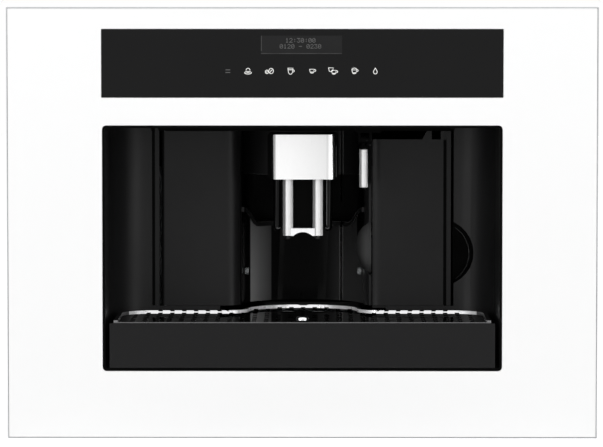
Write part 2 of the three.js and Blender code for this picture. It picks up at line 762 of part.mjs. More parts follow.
function coffeeNozzle() {
  const bore = 1.6;
  const body = turned([[0, 0], [NOZZLE_RADIUS - 0.8, 0], [NOZZLE_RADIUS, 1], [NOZZLE_RADIUS, NOZZLE_LENGTH],
    [0, NOZZLE_LENGTH]], SMALL_ROUND);
  return cut(body, bar('z', bore, [0, 0], -1, NOZZLE_LENGTH + 1, 8));
}

place('spout_guide', spoutGuide(), glossBlack);
place('spout_cover', spoutCover(), brushed);
place('spout_carriage', spoutCarriage(), chrome);
place('carriage_core', carriageCore(), glossBlack);
place('coffee_nozzle_left', coffeeNozzle(), blackPlastic, -LEG_SPACING / 2, legY, legBottom - 2.8);
place('coffee_nozzle_right', coffeeNozzle(), blackPlastic, LEG_SPACING / 2, legY, legBottom - 2.8);

// ---------------------------------------------------------------- wand

const wandY = cavityBack - WAND_SETBACK;
const wandPivotZ = cavityCeiling - FIT - WAND_PIVOT_DROP;
const forkRound = 6;

function wandSocket() {
  const half = FORK_WIDTH / 2;
  const blockBottom = wandPivotZ + forkRound + 0.5;
  const block = box([WAND_X - half - 3, WAND_X + half + 10], [wandY - 18, wandY + 20],
    [blockBottom, cavityCeiling - FIT]);
  const prong = new THREE.Shape();
  prong.moveTo(wandY - forkRound, blockBottom + 1);
  prong.lineTo(wandY - forkRound, wandPivotZ);
  prong.absarc(wandY, wandPivotZ, forkRound, Math.PI, 2 * Math.PI);
  prong.lineTo(wandY + forkRound, blockBottom + 1);
  const prongs = [WAND_X - half, WAND_X + half - FORK_PRONG].map((x) => across(prong, x, x + FORK_PRONG));
  const pin = bar('x', PIN_RADIUS, [wandY, wandPivotZ], WAND_X - half + 0.5, WAND_X + half - 0.5);
  return join(block, ...prongs, pin);
}

const wandTipX = WAND_X - 1.2;
const wandTipTop = wandPivotZ - forkRound - 5;

function wandHead() {
  const half = FORK_WIDTH / 2 - FORK_PRONG - FIT;
  const knuckle = bar('x', forkRound - 0.5, [wandY, wandPivotZ], WAND_X - half, WAND_X + half, 16);
  const neck = bar('z', WAND_RADIUS - 1.6, [wandTipX, wandY], wandTipTop - 16, wandPivotZ - 2);
  const collar = bar('z', WAND_RADIUS - 0.4, [wandTipX, wandY], wandTipTop + FIT, wandTipTop + 3);
  const grip = box([wandTipX + WAND_RADIUS + FIT, WAND_X + FORK_WIDTH / 2 - 0.1], [wandY - 3, wandY + 6],
    [wandTipTop - WAND_LENGTH + 4, wandTipTop + 3]);
  const arm = box([wandTipX, WAND_X + FORK_WIDTH / 2 - 0.1], [wandY - 3, wandY + 3],
    [wandTipTop + FIT, wandTipTop + 3]);
  const bore = bar('x', PIN_RADIUS + FIT, [wandY, wandPivotZ], WAND_X - 10, WAND_X + 10);
  return cut(join(knuckle, neck, collar, grip, arm), bore);
}

function wandTip() {
  const body = turned([[0, 0], [WAND_RADIUS - 1.6, 0], [WAND_RADIUS - 0.6, 1.2], [WAND_RADIUS, 4],
    [WAND_RADIUS, WAND_LENGTH], [0, WAND_LENGTH]]);
  const socket = bar('z', WAND_RADIUS - 1.3, [0, 0], WAND_LENGTH - 17, WAND_LENGTH + 1);
  return cut(body, socket, bar('z', 1.2, [0, 0], -1, WAND_LENGTH - 10, 8));
}

place('wand_socket', wandSocket(), blackPlastic);
place('wand_head', wandHead(), blackPlastic);
place('wand_tip', wandTip(), chrome, wandTipX, wandY, wandTipTop - WAND_LENGTH);

// ---------------------------------------------------------------- drip tray

const gridHalf = GRID_WIDTH / 2;
const gridFront = faceY + TRAY_FRONT_THICKNESS + FIT;
const gridBack = cavityBack - GRID_BACK_GAP;
const gridCorner = CAVITY_CORNER - (cavityHalf - gridHalf);
const bulgeRound = CORNER_ROUND + GRID_BACK_GAP;

// the tray's plan: it follows the bay's sides and back, and bulges into the door's recess
function trayPlan(grow) {
  const half = gridHalf + grow;
  const corner = gridCorner + grow;
  const back = gridBack + grow;
  const round = bulgeRound - grow;
  const shape = new THREE.Shape();
  shape.moveTo(-half, gridFront);
  shape.lineTo(half, gridFront);
  shape.absarc(half - corner, back - corner, corner, 0, Math.PI / 2);
  shape.absarc(cornerX, recessY, round, -Math.PI / 2, -Math.PI, true);
  shape.absellipse(0, recessY, cornerX - round, BULGE_DEPTH + grow, 0, Math.PI / 2);
  shape.absellipse(0, recessY, cornerX - round, BULGE_DEPTH + grow, Math.PI / 2, Math.PI);
  shape.absarc(-cornerX, recessY, round, 0, -Math.PI / 2, true);
  shape.absarc(corner - half, back - corner, corner, Math.PI / 2, Math.PI);
  return shape;
}

// how far back the grid reaches at a distance x from the middle
function gridBackAt(x) {
  const side = Math.abs(x);
  const bulgeHalf = cornerX - bulgeRound;
  const cornerStart = gridHalf - gridCorner;
  if (side < bulgeHalf) return recessY + BULGE_DEPTH * Math.sqrt(1 - (side / bulgeHalf) ** 2);
  if (side < cornerX) return recessY - Math.sqrt(bulgeRound ** 2 - (cornerX - side) ** 2);
  if (side < cornerStart) return gridBack;
  return gridBack - gridCorner + Math.sqrt(Math.max(0, gridCorner ** 2 - (side - cornerStart) ** 2));
}

function slotHole(x, y) {
  return box([x - SLOT_WIDTH / 2, x + SLOT_WIDTH / 2], [y - SLOT_LENGTH / 2, y + SLOT_LENGTH / 2],
    [gridTop - GRID_THICKNESS - 1, gridTop + 1]);
}

const floatY = faceY + FLOAT_SETBACK;
const drainX = LEG_SPACING / 2;
const drainY = legY + 4;

function cupGrid() {
  const holes = [];
  const edge = GRID_LIP_WIDTH + 3;
  const columns = Math.floor((gridHalf - edge - SLOT_WIDTH / 2) / SLOT_PITCH_X);
  for (let column = -columns; column <= columns; column += 1) {
    const x = column * SLOT_PITCH_X;
    for (let y = gridFront + 14; y < recessY + BULGE_DEPTH; y += SLOT_PITCH_Y) {
      const back = Math.min(gridBackAt(Math.abs(x) - SLOT_WIDTH), gridBackAt(Math.abs(x) + SLOT_WIDTH));
      const nearDrain = Math.hypot(Math.abs(x) - drainX, y - drainY) < DRAIN_RADIUS + SLOT_LENGTH / 2 + 1;
      const nearFloat = Math.hypot(x, y - floatY) < FLOAT_RADIUS + SLOT_LENGTH / 2 + 3;
      if (y + SLOT_LENGTH / 2 + edge < back && !nearDrain && !nearFloat) holes.push(slotHole(x, y));
    }
  }
  for (const [x, y, radius] of [[-drainX, drainY, DRAIN_RADIUS], [drainX, drainY, DRAIN_RADIUS],
    [0, floatY, FLOAT_RADIUS + 1]]) {
    holes.push(bar('z', radius, [x, y], gridTop - GRID_THICKNESS - 1, gridTop + 1, MID_ROUND));
  }
  const plate = cut(raised(trayPlan(0), gridTop - GRID_THICKNESS, gridTop, BAY_CURVE), ...holes);
  const lip = cut(
    raised(trayPlan(0), gridTop - GRID_THICKNESS, lipTop, BAY_CURVE),
    raised(trayPlan(-GRID_LIP_WIDTH), 0, lipTop + 1, BAY_CURVE),
    box([-300, 300], [-100, gridFront + 2], [0, 300]),
  );
  return join(plate, lip);
}

const groundsBack = GROUNDS_FRONT + GROUNDS_LENGTH;
const groundsFloor = trayFloor + TRAY_WALL + FIT;

function trayBasin() {
  const rim = gridTop - GRID_THICKNESS - FIT;
  const grow = 1.5;
  const outer = raised(trayPlan(grow), trayFloor, rim, BAY_CURVE);
  const inner = raised(trayPlan(grow - TRAY_WALL), trayFloor + TRAY_WALL, rim + 1, BAY_CURVE);
  const cradleHeight = 26;
  const cradle = box([GROUNDS_LEFT - FIT * 2 - TRAY_WALL, GROUNDS_RIGHT + FIT * 2 + TRAY_WALL],
    [recessY + BULGE_DEPTH - 8, groundsBack + FIT * 2 + TRAY_WALL], [trayFloor, trayFloor + cradleHeight]);
  const seat = box([GROUNDS_LEFT - FIT * 2, GROUNDS_RIGHT + FIT * 2],
    [GROUNDS_FRONT - FIT * 2, groundsBack + FIT * 2], [trayFloor + TRAY_WALL, trayFloor + 100]);
  return join(cut(outer, inner), cut(cradle, seat, raised(trayPlan(grow - 1), 0, 300, BAY_CURVE)));
}

function trayFront() {
  const half = TRAY_FRONT_WIDTH / 2;
  return box([-half, half], [faceY, faceY + TRAY_FRONT_THICKNESS], [trayFloor, trayTop]);
}

function trayFloat() {
  const bottom = groundsFloor;
  const domeTop = gridTop + 2;
  return turned([[0, bottom], [13, bottom], [13, bottom + 9], [4, bottom + 12], [4, gridTop - 16],
    [FLOAT_RADIUS, gridTop - 12], [FLOAT_RADIUS, domeTop - 3], [FLOAT_RADIUS - 2, domeTop - 1],
    [0, domeTop]]);
}

function groundsContainer() {
  const outer = roundedRect([GROUNDS_LEFT, GROUNDS_RIGHT], [GROUNDS_FRONT, groundsBack], 8);
  const wall = GROUNDS_WALL;
  const inner = roundedRect([GROUNDS_LEFT + wall, GROUNDS_RIGHT - wall],
    [GROUNDS_FRONT + wall, groundsBack - wall], 8 - wall);
  return cut(raised(outer, groundsFloor, lipTop, 3), raised(inner, groundsFloor + wall, lipTop + 1, 3));
}

place('tray_front', trayFront(), greyPlastic);
place('tray_basin', trayBasin(), blackPlastic);
place('cup_grid', cupGrid(), chrome);
place('tray_float', trayFloat(), chrome, 0, floatY, 0);
place('grounds_container', groundsContainer(), blackPlastic);

// ---------------------------------------------------------------- water tank

const tankTop = panelTop - TANK_STEP;
const tankFrontY = cavityBack + MOULD + FIT;
const tankBackY = tankFrontY + TANK_LENGTH;
const shellTop = tankTop - 4;
const shellBottom = panelBottom + 0.5;
const shellX = [TANK_LEFT + 1.5, STRIP_OUTER - 4];
const valveX = (shellX[0] + shellX[1]) / 2;
const valveZ = shellBottom + 14;

function tankCover() {
  const lean = (radius) => Math.asin((cornerX - TANK_LEFT) / radius);
  const inside = CORNER_ROUND - MOULD;
  const plan = new THREE.Shape();
  plan.absarc(cornerX, recessY, CORNER_ROUND, -Math.PI / 2 - lean(CORNER_ROUND), -Math.PI / 2);
  plan.lineTo(STRIP_OUTER, cavityBack);
  plan.lineTo(STRIP_OUTER, cavityBack + MOULD);
  plan.absarc(cornerX, recessY, inside, -Math.PI / 2, -Math.PI / 2 - lean(inside), true);
  const face = outline([[TANK_LEFT - 1, panelBottom], [STRIP_OUTER + 1, panelBottom], [STRIP_OUTER + 1, panelTop],
    [STRIP_OUTER - 10.6, panelTop], [STRIP_OUTER - 10.6, tankTop], [STRIP_OUTER - 20, tankTop],
    [STRIP_OUTER - 20, panelTop], [STRIP_OUTER - 25, panelTop], [STRIP_OUTER - 30, tankTop],
    [TANK_LEFT - 1, tankTop]]);
  const groove = box([STRIP_INNER - 2.5, STRIP_INNER], [cavityBack - 1, cavityBack + 1.5], [0, panelTop + 1]);
  return cut(
    raised(plan, panelBottom, panelTop).intersect(pushed(face, cavityBack - 1, recessY)),
    groove,
  );
}

function tankShell() {
  const round = 8;
  const outer = raised(roundedRect(shellX, [tankFrontY, tankBackY], round), shellBottom, shellTop, 3);
  const inset = ([low, high]) => [low + TANK_WALL, high - TANK_WALL];
  const inner = raised(
    roundedRect(inset(shellX), inset([tankFrontY, tankBackY]), round - TANK_WALL),
    shellBottom + TANK_WALL, shellTop - TANK_WALL, 3);
  const mouth = box([shellX[0] + 8, shellX[1] - 8], [tankFrontY + 10, tankFrontY + TANK_FLAP - 8],
    [shellTop - TANK_WALL - 1, shellTop + 1]);
  const valveHole = bar('y', VALVE_RADIUS + FIT, [valveX, valveZ], tankBackY - 8, tankBackY + 1);
  return cut(outer, inner, mouth, valveHole);
}

function tankLid() {
  const back = tankFrontY + TANK_FLAP;
  const bottom = shellTop + FIT;
  const plate = box([shellX[0] + 3, shellX[1] - 3], [tankFrontY + 4, back], [bottom, bottom + LID_THICKNESS]);
  const knuckle = bar('x', 2, [back, bottom + 2], shellX[0] + 6, shellX[1] - 6);
  return join(plate, knuckle);
}

function tankValve() {
  const stem = bar('y', VALVE_RADIUS, [0, 0], -7, 1);
  const head = bar('y', VALVE_RADIUS + 2.5, [0, 0], -10, -6);
  return join(stem, head);
}

// the shelf under the tank, with its outer guide wall, leg and valve seat
function tankShelf() {
  const back = tankBackY + 8;
  const top = panelBottom - FIT;
  const right = STRIP_OUTER + 6;
  const floor = box([columnRight + FIT * 2, right], [cavityBack + WALL + FIT, back], [top - 2.4, top]);
  const guide = box([right - 2, right], [cavityBack + SCOOP_DEPTH + 8, back], [top - 1, tankTop]);
  const leg = box([right - SHEET, right], [cavityBack + WALL + FIT, back], [HOUSING_BOTTOM + SHEET + FIT, top - 1]);
  const backWall = box([columnRight + FIT * 2, right], [back - 2, back], [top - 1, top + 60]);
  const seat = bar('y', VALVE_RADIUS + 4, [valveX, valveZ], tankBackY + 1 + VALVE_TRAVEL + RUN, back - 1);
  const port = bar('y', 3, [valveX, valveZ], tankBackY, back + 1);
  return cut(join(floor, guide, leg, backWall, seat), port);
}

place('tank_cover', tankCover(), blackPlastic);
place('tank_shell', tankShell(), clear);
place('tank_lid', tankLid(), blackPlastic);
place('tank_valve', tankValve(), rubber, valveX, tankBackY, valveZ);
place('tank_shelf', tankShelf(), blackPlastic);

// ---------------------------------------------------------------- housing

const sheetInside = housingHalf - SHEET;
const rearY = HOUSING_DEPTH - 2;
const hopperHalf = [HOPPER_WIDTH / 2, HOPPER_DEPTH / 2];
const hopperX = GRINDER_X;
const hopperY = GRINDER_Y;
const knobX = FUNNEL_X;
const knobY = FUNNEL_Y - 90;

function slotRow(count, pitch, make) {
  return Array.from({ length: count }, (_, i) => make((i - (count - 1) / 2) * pitch));
}

function around(value, half) {
  return [value - half, value + half];
}

// the base, pressed to one section: side flanges, a flat floor and two raised bearers for the cup bay
function chassisBase() {
  const top = HOUSING_BOTTOM + SHEET;
  const flangeTop = HOUSING_BOTTOM + 18;
  const half = sheetInside - FIT;
  const bearerTop = cavityFloor - WALL - FIT;
  const [near, far] = around(BEARER_X, BEARER_WIDTH / 2);
  const under = [[near + SHEET, HOUSING_BOTTOM], [near + SHEET, bearerTop - SHEET],
    [far - SHEET, bearerTop - SHEET], [far - SHEET, HOUSING_BOTTOM], [half, HOUSING_BOTTOM]];
  const over = [[half, flangeTop], [half - SHEET, flangeTop], [half - SHEET, top], [far, top],
    [far, bearerTop], [near, bearerTop], [near, top]];
  const rightHalf = [...under, ...over];
  const leftHalf = rightHalf.toReversed().map(([x, z]) => [-x, z]);
  return pushed(outline([...rightHalf, ...leftHalf]), 2, rearY - SHEET - FIT);
}

// the folded cover: two sides and a top, with vents and the openings for the lids and knob
function housingCover() {
  const outer = box([-housingHalf, housingHalf], [2, rearY], [HOUSING_BOTTOM, housingTop]);
  const inner = box([-sheetInside, sheetInside], [1, rearY + 1], [HOUSING_BOTTOM - 1, housingTop - SHEET]);
  const hopperHole = box(around(hopperX, hopperHalf[0] + 1), around(hopperY, hopperHalf[1] + 1),
    [housingTop - 5, housingTop + 1]);
  const funnelHole = box(around(FUNNEL_X, FUNNEL_WIDTH / 2 + 1), around(FUNNEL_Y, FUNNEL_WIDTH / 2 + 1),
    [housingTop - 5, housingTop + 1]);
  const knobHole = bar('z', 4.5, [knobX, knobY], housingTop - 5, housingTop + 1);
  const vents = slotRow(7, 9, (dz) => box([-housingHalf - 1, housingHalf + 1], [270, 350],
    around(housingTop - 80 + dz, 2)));
  return cut(outer, inner, hopperHole, funnelHole, knobHole, ...vents);
}

function rearPanel() {
  const half = sheetInside - FIT;
  const plate = box([-half, half], [rearY - SHEET, rearY], [HOUSING_BOTTOM + SHEET + FIT, housingTop - SHEET - FIT]);
  const vents = slotRow(9, 11, (dz) => box([-200, -60], [rearY - 5, rearY + 5], around(300 + dz, 2.5)));
  const inletHole = box(around(INLET_X, 14), [rearY - 5, rearY + 5], around(INLET_Z, 10));
  const switchHalf = ROCKER_HALF[0] + 0.5;
  const switchHole = box(around(SWITCH_X, switchHalf), [rearY - 5, rearY + 5], around(INLET_Z, ROCKER_HALF[1] + 1));
  const ears = [-1, 1].map((side) => box(around(SWITCH_X + side * (switchHalf + SHEET / 2), SHEET / 2),
    [rearY - ROCKER_PIVOT - 4, rearY - SHEET + 0.1], around(INLET_Z, 4)));
  const pinHole = bar('x', ROCKER_PIN + FIT, [rearY - ROCKER_PIVOT, INLET_Z], SWITCH_X - 12, SWITCH_X + 12);
  return cut(join(cut(plate, ...vents, inletHole, switchHole), ...ears), pinHole);
}

const deckFront = cavityBack + 8;

// the shelf over the cup bay that the grinder stands on and the boilers and brew unit hang from
function upperDeck() {
  const half = sheetInside - FIT;
  const back = rearY - SHEET - FIT;
  const plate = box([-half, half], [deckFront, back], [deckBottom, deckTop]);
  const flanges = [-1, 1].map((side) => box(around(side * (half - SHEET / 2), SHEET / 2), [deckFront, back],
    [deckBottom, deckTop + 14]));
  const shaftHole = bar('z', 9, [GRINDER_X, GRINDER_Y], deckBottom - 1, deckTop + 1);
  const funnelHole = bar('z', 13, [FUNNEL_X, FUNNEL_Y], deckBottom - 1, deckTop + 1);
  const tankRoom = box([columnRight, STRIP_OUTER + 8], [deckFront - 1, tankFrontY + TANK_FLAP + 12],
    [deckBottom - 1, deckTop + 1]);
  return cut(join(plate, ...flanges), shaftHole, funnelHole, tankRoom);
}

place('chassis_base', chassisBase(), zinc);
place('housing_cover', housingCover(), zinc);
place('rear_panel', rearPanel(), zinc);
place('upper_deck', upperDeck(), zinc);

// ---------------------------------------------------------------- rails

// one member of a three-part telescopic rail: a channel whose web stands at the depth given
function railMember(webX, flangeX, halfHeight, turnedOut) {
  const web = box([webX, webX + RAIL_SHEET], [0, RAIL_LENGTH], [-halfHeight, halfHeight]);
  const flanges = [-1, 1].map((side) => box(
    turnedOut ? [webX, flangeX] : [flangeX, webX + RAIL_SHEET],
    [0, RAIL_LENGTH],
    around(side * (halfHeight - RAIL_SHEET / 2), RAIL_SHEET / 2),
  ));
  const holes = [40, RAIL_LENGTH / 2, RAIL_LENGTH - 40].map((y) =>
    bar('x', 2.5, [y, 0], webX - 1, webX + RAIL_SHEET + 1, 8));
  return cut(join(web, ...flanges), ...holes);
}

const nest = RAIL_SHEET + RUN;
const railMembers = {
  outer: railMember(RAIL_THICKNESS - RAIL_SHEET, 5, RAIL_HEIGHT / 2, false),
  middle: railMember(RAIL_THICKNESS - RAIL_SHEET - nest, 3, RAIL_HEIGHT / 2 - nest, false),
  inner: railMember(0, 8, RAIL_HEIGHT / 2 - 2 * nest, true),
};
for (const [member, body] of Object.entries(railMembers)) {
  place(`${member}_rail_right`, body, steel, housingHalf + FIT, RAIL_START, RAIL_CENTRE);
  const left = place(`${member}_rail_left`, body, steel, -housingHalf - FIT, RAIL_START + RAIL_LENGTH, RAIL_CENTRE);
  left.rotation.z = Math.PI;
}

// ---------------------------------------------------------------- grinder, hopper and funnel

const grinderBottom = deckTop + FIT;
const grinderTop = grinderBottom + GRINDER_HEIGHT;

// a box that narrows from its top to its bottom
function tapered([x, y], [topHalfX, topHalfY], z1, [lowHalfX, lowHalfY], z0) {
  const geometry = new THREE.BoxGeometry(2, 2, z1 - z0);
  const corners = geometry.getAttribute('position');
  for (let i = 0; i < corners.count; i += 1) {
    const high = corners.getZ(i) > 0;
    corners.setXYZ(
      i,
      x + corners.getX(i) * (high ? topHalfX : lowHalfX),
      y + corners.getY(i) * (high ? topHalfY : lowHalfY),
      (z0 + z1) / 2 + corners.getZ(i),
    );
  }
  return solid(geometry);
}

function grinderHousing() {
  const spacing = 2;
  const outer = turned([[0, 0], [GRINDER_RADIUS, 0], [GRINDER_RADIUS, GRINDER_HEIGHT - 6],
    [GRINDER_RADIUS - 6, GRINDER_HEIGHT], [0, GRINDER_HEIGHT]]);
  const bore = turned([[0, 4], [BURR_RADIUS + spacing, 4], [BURR_RADIUS + spacing, 14],
    [14, GRINDER_HEIGHT - 4], [14, GRINDER_HEIGHT + 1], [0, GRINDER_HEIGHT + 1]]);
  return cut(outer, bore, bar('z', 5, [0, 0], -1, 6));
}

// the cone burr: a toothed star trimmed to a cone, on its drive shaft
function grinderBurr() {
  const star = new THREE.Shape();
  for (let tooth = 0; tooth < BURR_TEETH; tooth += 1) {
    const angle = (tooth / BURR_TEETH) * 2 * Math.PI;
    const valley = angle + Math.PI / BURR_TEETH;
    star.lineTo(BURR_RADIUS * Math.cos(angle), BURR_RADIUS * Math.sin(angle));
    star.lineTo((BURR_RADIUS - 4) * Math.cos(valley), (BURR_RADIUS - 4) * Math.sin(valley));
  }
  const cone = turned([[0, 6], [BURR_RADIUS, 6], [BURR_RADIUS, 12], [8, GRINDER_HEIGHT - 12],
    [0, GRINDER_HEIGHT - 12]]);
  const shaft = bar('z', 4, [0, 0], -DECK_OVER_BAY - 10, 8);
  return join(raised(star, 6, GRINDER_HEIGHT).intersect(cone), shaft);
}

function grinderMotor() {
  const can = turned([[0, 0], [MOTOR_RADIUS - 3, 0], [MOTOR_RADIUS, 3],
    [MOTOR_RADIUS, MOTOR_LENGTH], [0, MOTOR_LENGTH]]);
  return cut(can, bar('z', 4.6, [0, 0], MOTOR_LENGTH - 14, MOTOR_LENGTH + 1));
}

function beanHopper() {
  const top = housingTop + 0.5;
  const floor = grinderTop + FIT;
  const shoulder = floor + 30;
  const [w, d] = hopperHalf;
  const wall = HOPPER_WALL;
  const outer = join(
    box(around(hopperX, w), around(hopperY, d), [shoulder, top]),
    tapered([hopperX, hopperY], [w, d], shoulder, [22, 22], floor),
  );
  const inner = join(
    box(around(hopperX, w - wall), around(hopperY, d - wall), [shoulder, top + 1]),
    tapered([hopperX, hopperY], [w - wall, d - wall], shoulder, [22 - wall, 22 - wall], floor - 0.01),
  );
  return cut(outer, inner);
}

// a flat lid with its hinge knuckle along the back edge
function hingedLid(halfX, halfY) {
  const plate = box([-halfX, halfX], [-2 * halfY, 0], [0, LID_THICKNESS]);
  const knuckle = bar('x', 2.2, [0, 2.2], -halfX + 6, halfX - 6);
  return join(plate, knuckle);
}

function groundCoffeeFunnel() {
  const top = housingTop + 0.5;
  const half = FUNNEL_WIDTH / 2;
  const wall = HOPPER_WALL;
  const throat = deckTop + 24;
  const centre = [FUNNEL_X, FUNNEL_Y];
  const outer = join(
    tapered(centre, [half, half], top, [11, 11], throat),
    bar('z', 11.4, centre, deckBottom - 3, throat + 2),
    bar('z', 16, centre, deckTop + FIT, deckTop + 3),
  );
  const inner = join(
    tapered(centre, [half - wall, half - wall], top + 0.01, [11 - wall, 11 - wall], throat),
    bar('z', 9, centre, deckBottom - 4, throat + 3),
  );
  return cut(outer, inner);
}

// the grind knob: a ribbed round knob with a pointer notch and a stub shaft
function grindKnob() {
  const ribs = 12;
  const grip = new THREE.Shape();
  for (let rib = 0; rib < ribs * 2; rib += 1) {
    const angle = (rib / ribs) * Math.PI;
    const radius = rib % 2 ? KNOB_RADIUS - 1.2 : KNOB_RADIUS;
    grip.lineTo(radius * Math.cos(angle), radius * Math.sin(angle));
  }
  const pointer = box([-0.8, 0.8], [-KNOB_RADIUS - 1, -KNOB_RADIUS + 7], [7.5, 10]);
  return cut(join(raised(grip, FIT, 9), bar('z', 4, [0, 0], -12, 1)), pointer);
}

const hopperLidHalf = [hopperHalf[0] - 4, hopperHalf[1] - 4];
const funnelLidHalf = [FUNNEL_WIDTH / 2 - 0.5, FUNNEL_WIDTH / 2 - 0.5];
const lidZ = housingTop + 0.5 + FIT;
place('grinder_housing', grinderHousing(), greyPlastic, GRINDER_X, GRINDER_Y, grinderBottom);
place('grinder_burr', grinderBurr(), steel, GRINDER_X, GRINDER_Y, grinderBottom);
place('grinder_motor', grinderMotor(), steel, GRINDER_X, GRINDER_Y, deckBottom - FIT - MOTOR_LENGTH);
place('bean_hopper', beanHopper(), clear);
place('hopper_lid', hingedLid(hopperHalf[0], hopperLidHalf[1]), blackPlastic, hopperX, hopperY + hopperLidHalf[1],
  lidZ);
place('coffee_funnel', groundCoffeeFunnel(), blackPlastic);
place('funnel_lid', hingedLid(...funnelLidHalf), blackPlastic, FUNNEL_X, FUNNEL_Y + funnelLidHalf[1], lidZ);
place('grind_knob', grindKnob(), blackPlastic, knobX, knobY, housingTop);

// ---------------------------------------------------------------- brew unit

const brewTop = deckBottom - FIT;
const brewHalf = BREW_WIDTH / 2;
const brewY = BREW_FRONT + BREW_DEPTH / 2;
const chamberBottom = BREW_BOTTOM + MOULD + FIT;
const buttonY = BREW_FRONT + 9;
const buttonZ = BREW_BOTTOM + 90;

// the frame hangs from the deck: two cheeks, a top with the coffee inlet and piston, and a foot
function brewFrame() {
  const y = [BREW_FRONT, BREW_FRONT + BREW_DEPTH];
  const outer = box(around(BREW_X, brewHalf), y, [BREW_BOTTOM, brewTop]);
  const inner = box(around(BREW_X, brewHalf - MOULD), [y[0] - 1, y[1] + 1], [BREW_BOTTOM + MOULD, brewTop - MOULD]);
  const piston = bar('z', CHAMBER_RADIUS - 1.6, [BREW_X, brewY],
    chamberBottom + CHAMBER_HEIGHT + 3, brewTop - 1, MID_ROUND);
  const window = box(around(BREW_X, brewHalf + 1), [y[0] + 24, y[1] - 12], [BREW_BOTTOM + 12, brewTop - 60]);
  const inlet = bar('z', 12, [FUNNEL_X, FUNNEL_Y], brewTop - 30, brewTop + 1);
  const buttonHoles = bar('x', 4.4, [buttonY, buttonZ], -brewHalf - 1, brewHalf + 1);
  return cut(join(cut(outer, inner, window), piston), inlet, buttonHoles);
}

function brewChamber() {
  const cup = bar('z', CHAMBER_RADIUS + 3, [0, 0], 0, CHAMBER_HEIGHT, MID_ROUND);
  const bore = bar('z', CHAMBER_RADIUS - 1, [0, 0], 6, CHAMBER_HEIGHT + 1, MID_ROUND);
  const arms = box(around(0, brewHalf - MOULD - RUN), [-7, 7], [10, 24]);
  return cut(join(cup, arms), bore);
}

function releaseButton() {
  const stem = bar('x', 4, [0, 0], -MOULD - 4, BUTTON_TRAVEL + 1);
  const cap = bar('x', 7, [0, 0], BUTTON_TRAVEL + FIT, BUTTON_TRAVEL + FIT + 3.5);
  return join(stem, cap);
}

place('brew_frame', brewFrame(), blackPlastic);
place('brew_chamber', brewChamber(), greyPlastic, BREW_X, brewY, chamberBottom);
place('release_button_right', releaseButton(), red, BREW_X + brewHalf, buttonY, buttonZ);
const leftButton = place('release_button_left', releaseButton(), red, BREW_X - brewHalf, buttonY, buttonZ);
leftButton.rotation.z = Math.PI;

// ---------------------------------------------------------------- water and power

const pumpX = -200;
const pumpY = 180;
const pumpZ = HOUSING_BOTTOM + SHEET + FIT + 26;
const boilerX = 208;
const boilerY = 292;
const boilerTop = deckBottom - FIT;
const boilerBottom = boilerTop - BOILER_HEIGHT;

// the vibration pump on its saddle, with a nipple at each end
function waterPump() {
  const profile = [[0, 0], [4, 0], [4, 12], [14, 12], [14, 24], [20, 24], [20, 72], [14, 72], [14, 92],
    [4, 92], [4, PUMP_LENGTH], [0, PUMP_LENGTH]];
  const body = geometryOf(turned(profile, SMALL_ROUND));
  body.rotateX(-Math.PI / 2);
  body.translate(pumpX, pumpY, pumpZ);
  const saddle = box(around(pumpX, 12), around(pumpY + 48, 20), [HOUSING_BOTTOM + SHEET + FIT, pumpZ - 10]);
  return join(solid(body), saddle);
}

function boiler(radius) {
  const body = turned([[0, 0], [4, 0], [4, 10], [radius - 4, 10], [radius, 14], [radius, 46], [radius + 5, 46],
    [radius + 5, 52], [radius, 52], [radius, 88], [0, 88]]);
  return join(body, box([-radius - 2, radius + 2], [-14, 14], [86, BOILER_HEIGHT]));
}

function powerBoard() {
  const x = sheetInside - 9;
  const plate = box([x, x + 1.6], [150, 330], [90, 250]);
  const standoffs = [[160, 100], [320, 100], [160, 240], [320, 240]].map(([y, z]) =>
    bar('x', 3, [y, z], x + 1, sheetInside - FIT, 8));
  const transformer = box([x - 34, x + 0.5], [170, 215], [120, 160]);
  const relays = [0, 1, 2].map((i) => box([x - 16, x + 0.5], around(250 + i * 26, 9), [120, 145]));
  const capacitor = bar('x', 11, [192, 190], x - 26, x + 0.5);
  return join(plate, ...standoffs, transformer, ...relays, capacitor);
}

// the mains inlet: a cold-appliance socket with its flange outside the rear panel and three pins
function mainsInlet() {
  const flange = box(around(0, 19), [FIT, 2.5 + FIT], around(0, 13.5));
  const shell = box(around(0, 13.7), [-22, 1], around(0, 9.7));
  const socket = box(around(0, 11.5), [-18, 4], around(0, 7.5));
  const pins = [-7, 0, 7].map((x) => box(around(x, 1), [-20, -3], around(x ? -1.5 : 2, 2)));
  return join(cut(join(flange, shell), socket), ...pins);
}

// a rocker on its own pins, at rest with its upper end out
function mainSwitch() {
  const [half, tall] = ROCKER_HALF;
  const face = ROCKER_PIVOT + 2.5;
  const rocker = outline([[-5, 2 - tall], [3, -tall], [face, 1.5 - tall], [face - 1.7, 0], [face, tall - 1.5],
    [3, tall], [-5, tall - 2]]);
  return join(across(rocker, -half, half), bar('x', ROCKER_PIN, [0, 0], -half - SHEET, half + SHEET));
}

function hose(points, radius) {
  const path = new THREE.CatmullRomCurve3(points.map(([x, y, z]) => new THREE.Vector3(x, y, z)));
  const section = new THREE.Shape();
  section.absarc(0, 0, radius, 0, 2 * Math.PI);
  return solid(new THREE.ExtrudeGeometry(section, {
    steps: 20, curveSegments: 2, bevelEnabled: false, extrudePath: path,
  }));
}

// from the tank's valve seat, round behind the cup bay, to the pump's inlet
function suctionHose() {
  const start = tankBackY + 8 + FIT;
  const run = rearY - SHEET - 25;
  const end = pumpY + PUMP_LENGTH + FIT;
  return hose([[valveX, start, valveZ], [valveX, start + 12, valveZ], [valveX - 20, run - 2, valveZ - 31],
    [valveX - 52, run, valveZ - 53], [-60, run, pumpZ + 38], [pumpX + 40, run, pumpZ + 28],
    [pumpX + 6, end + 54, pumpZ], [pumpX, end + 28, pumpZ], [pumpX, end, pumpZ]], HOSE_RADIUS);
}

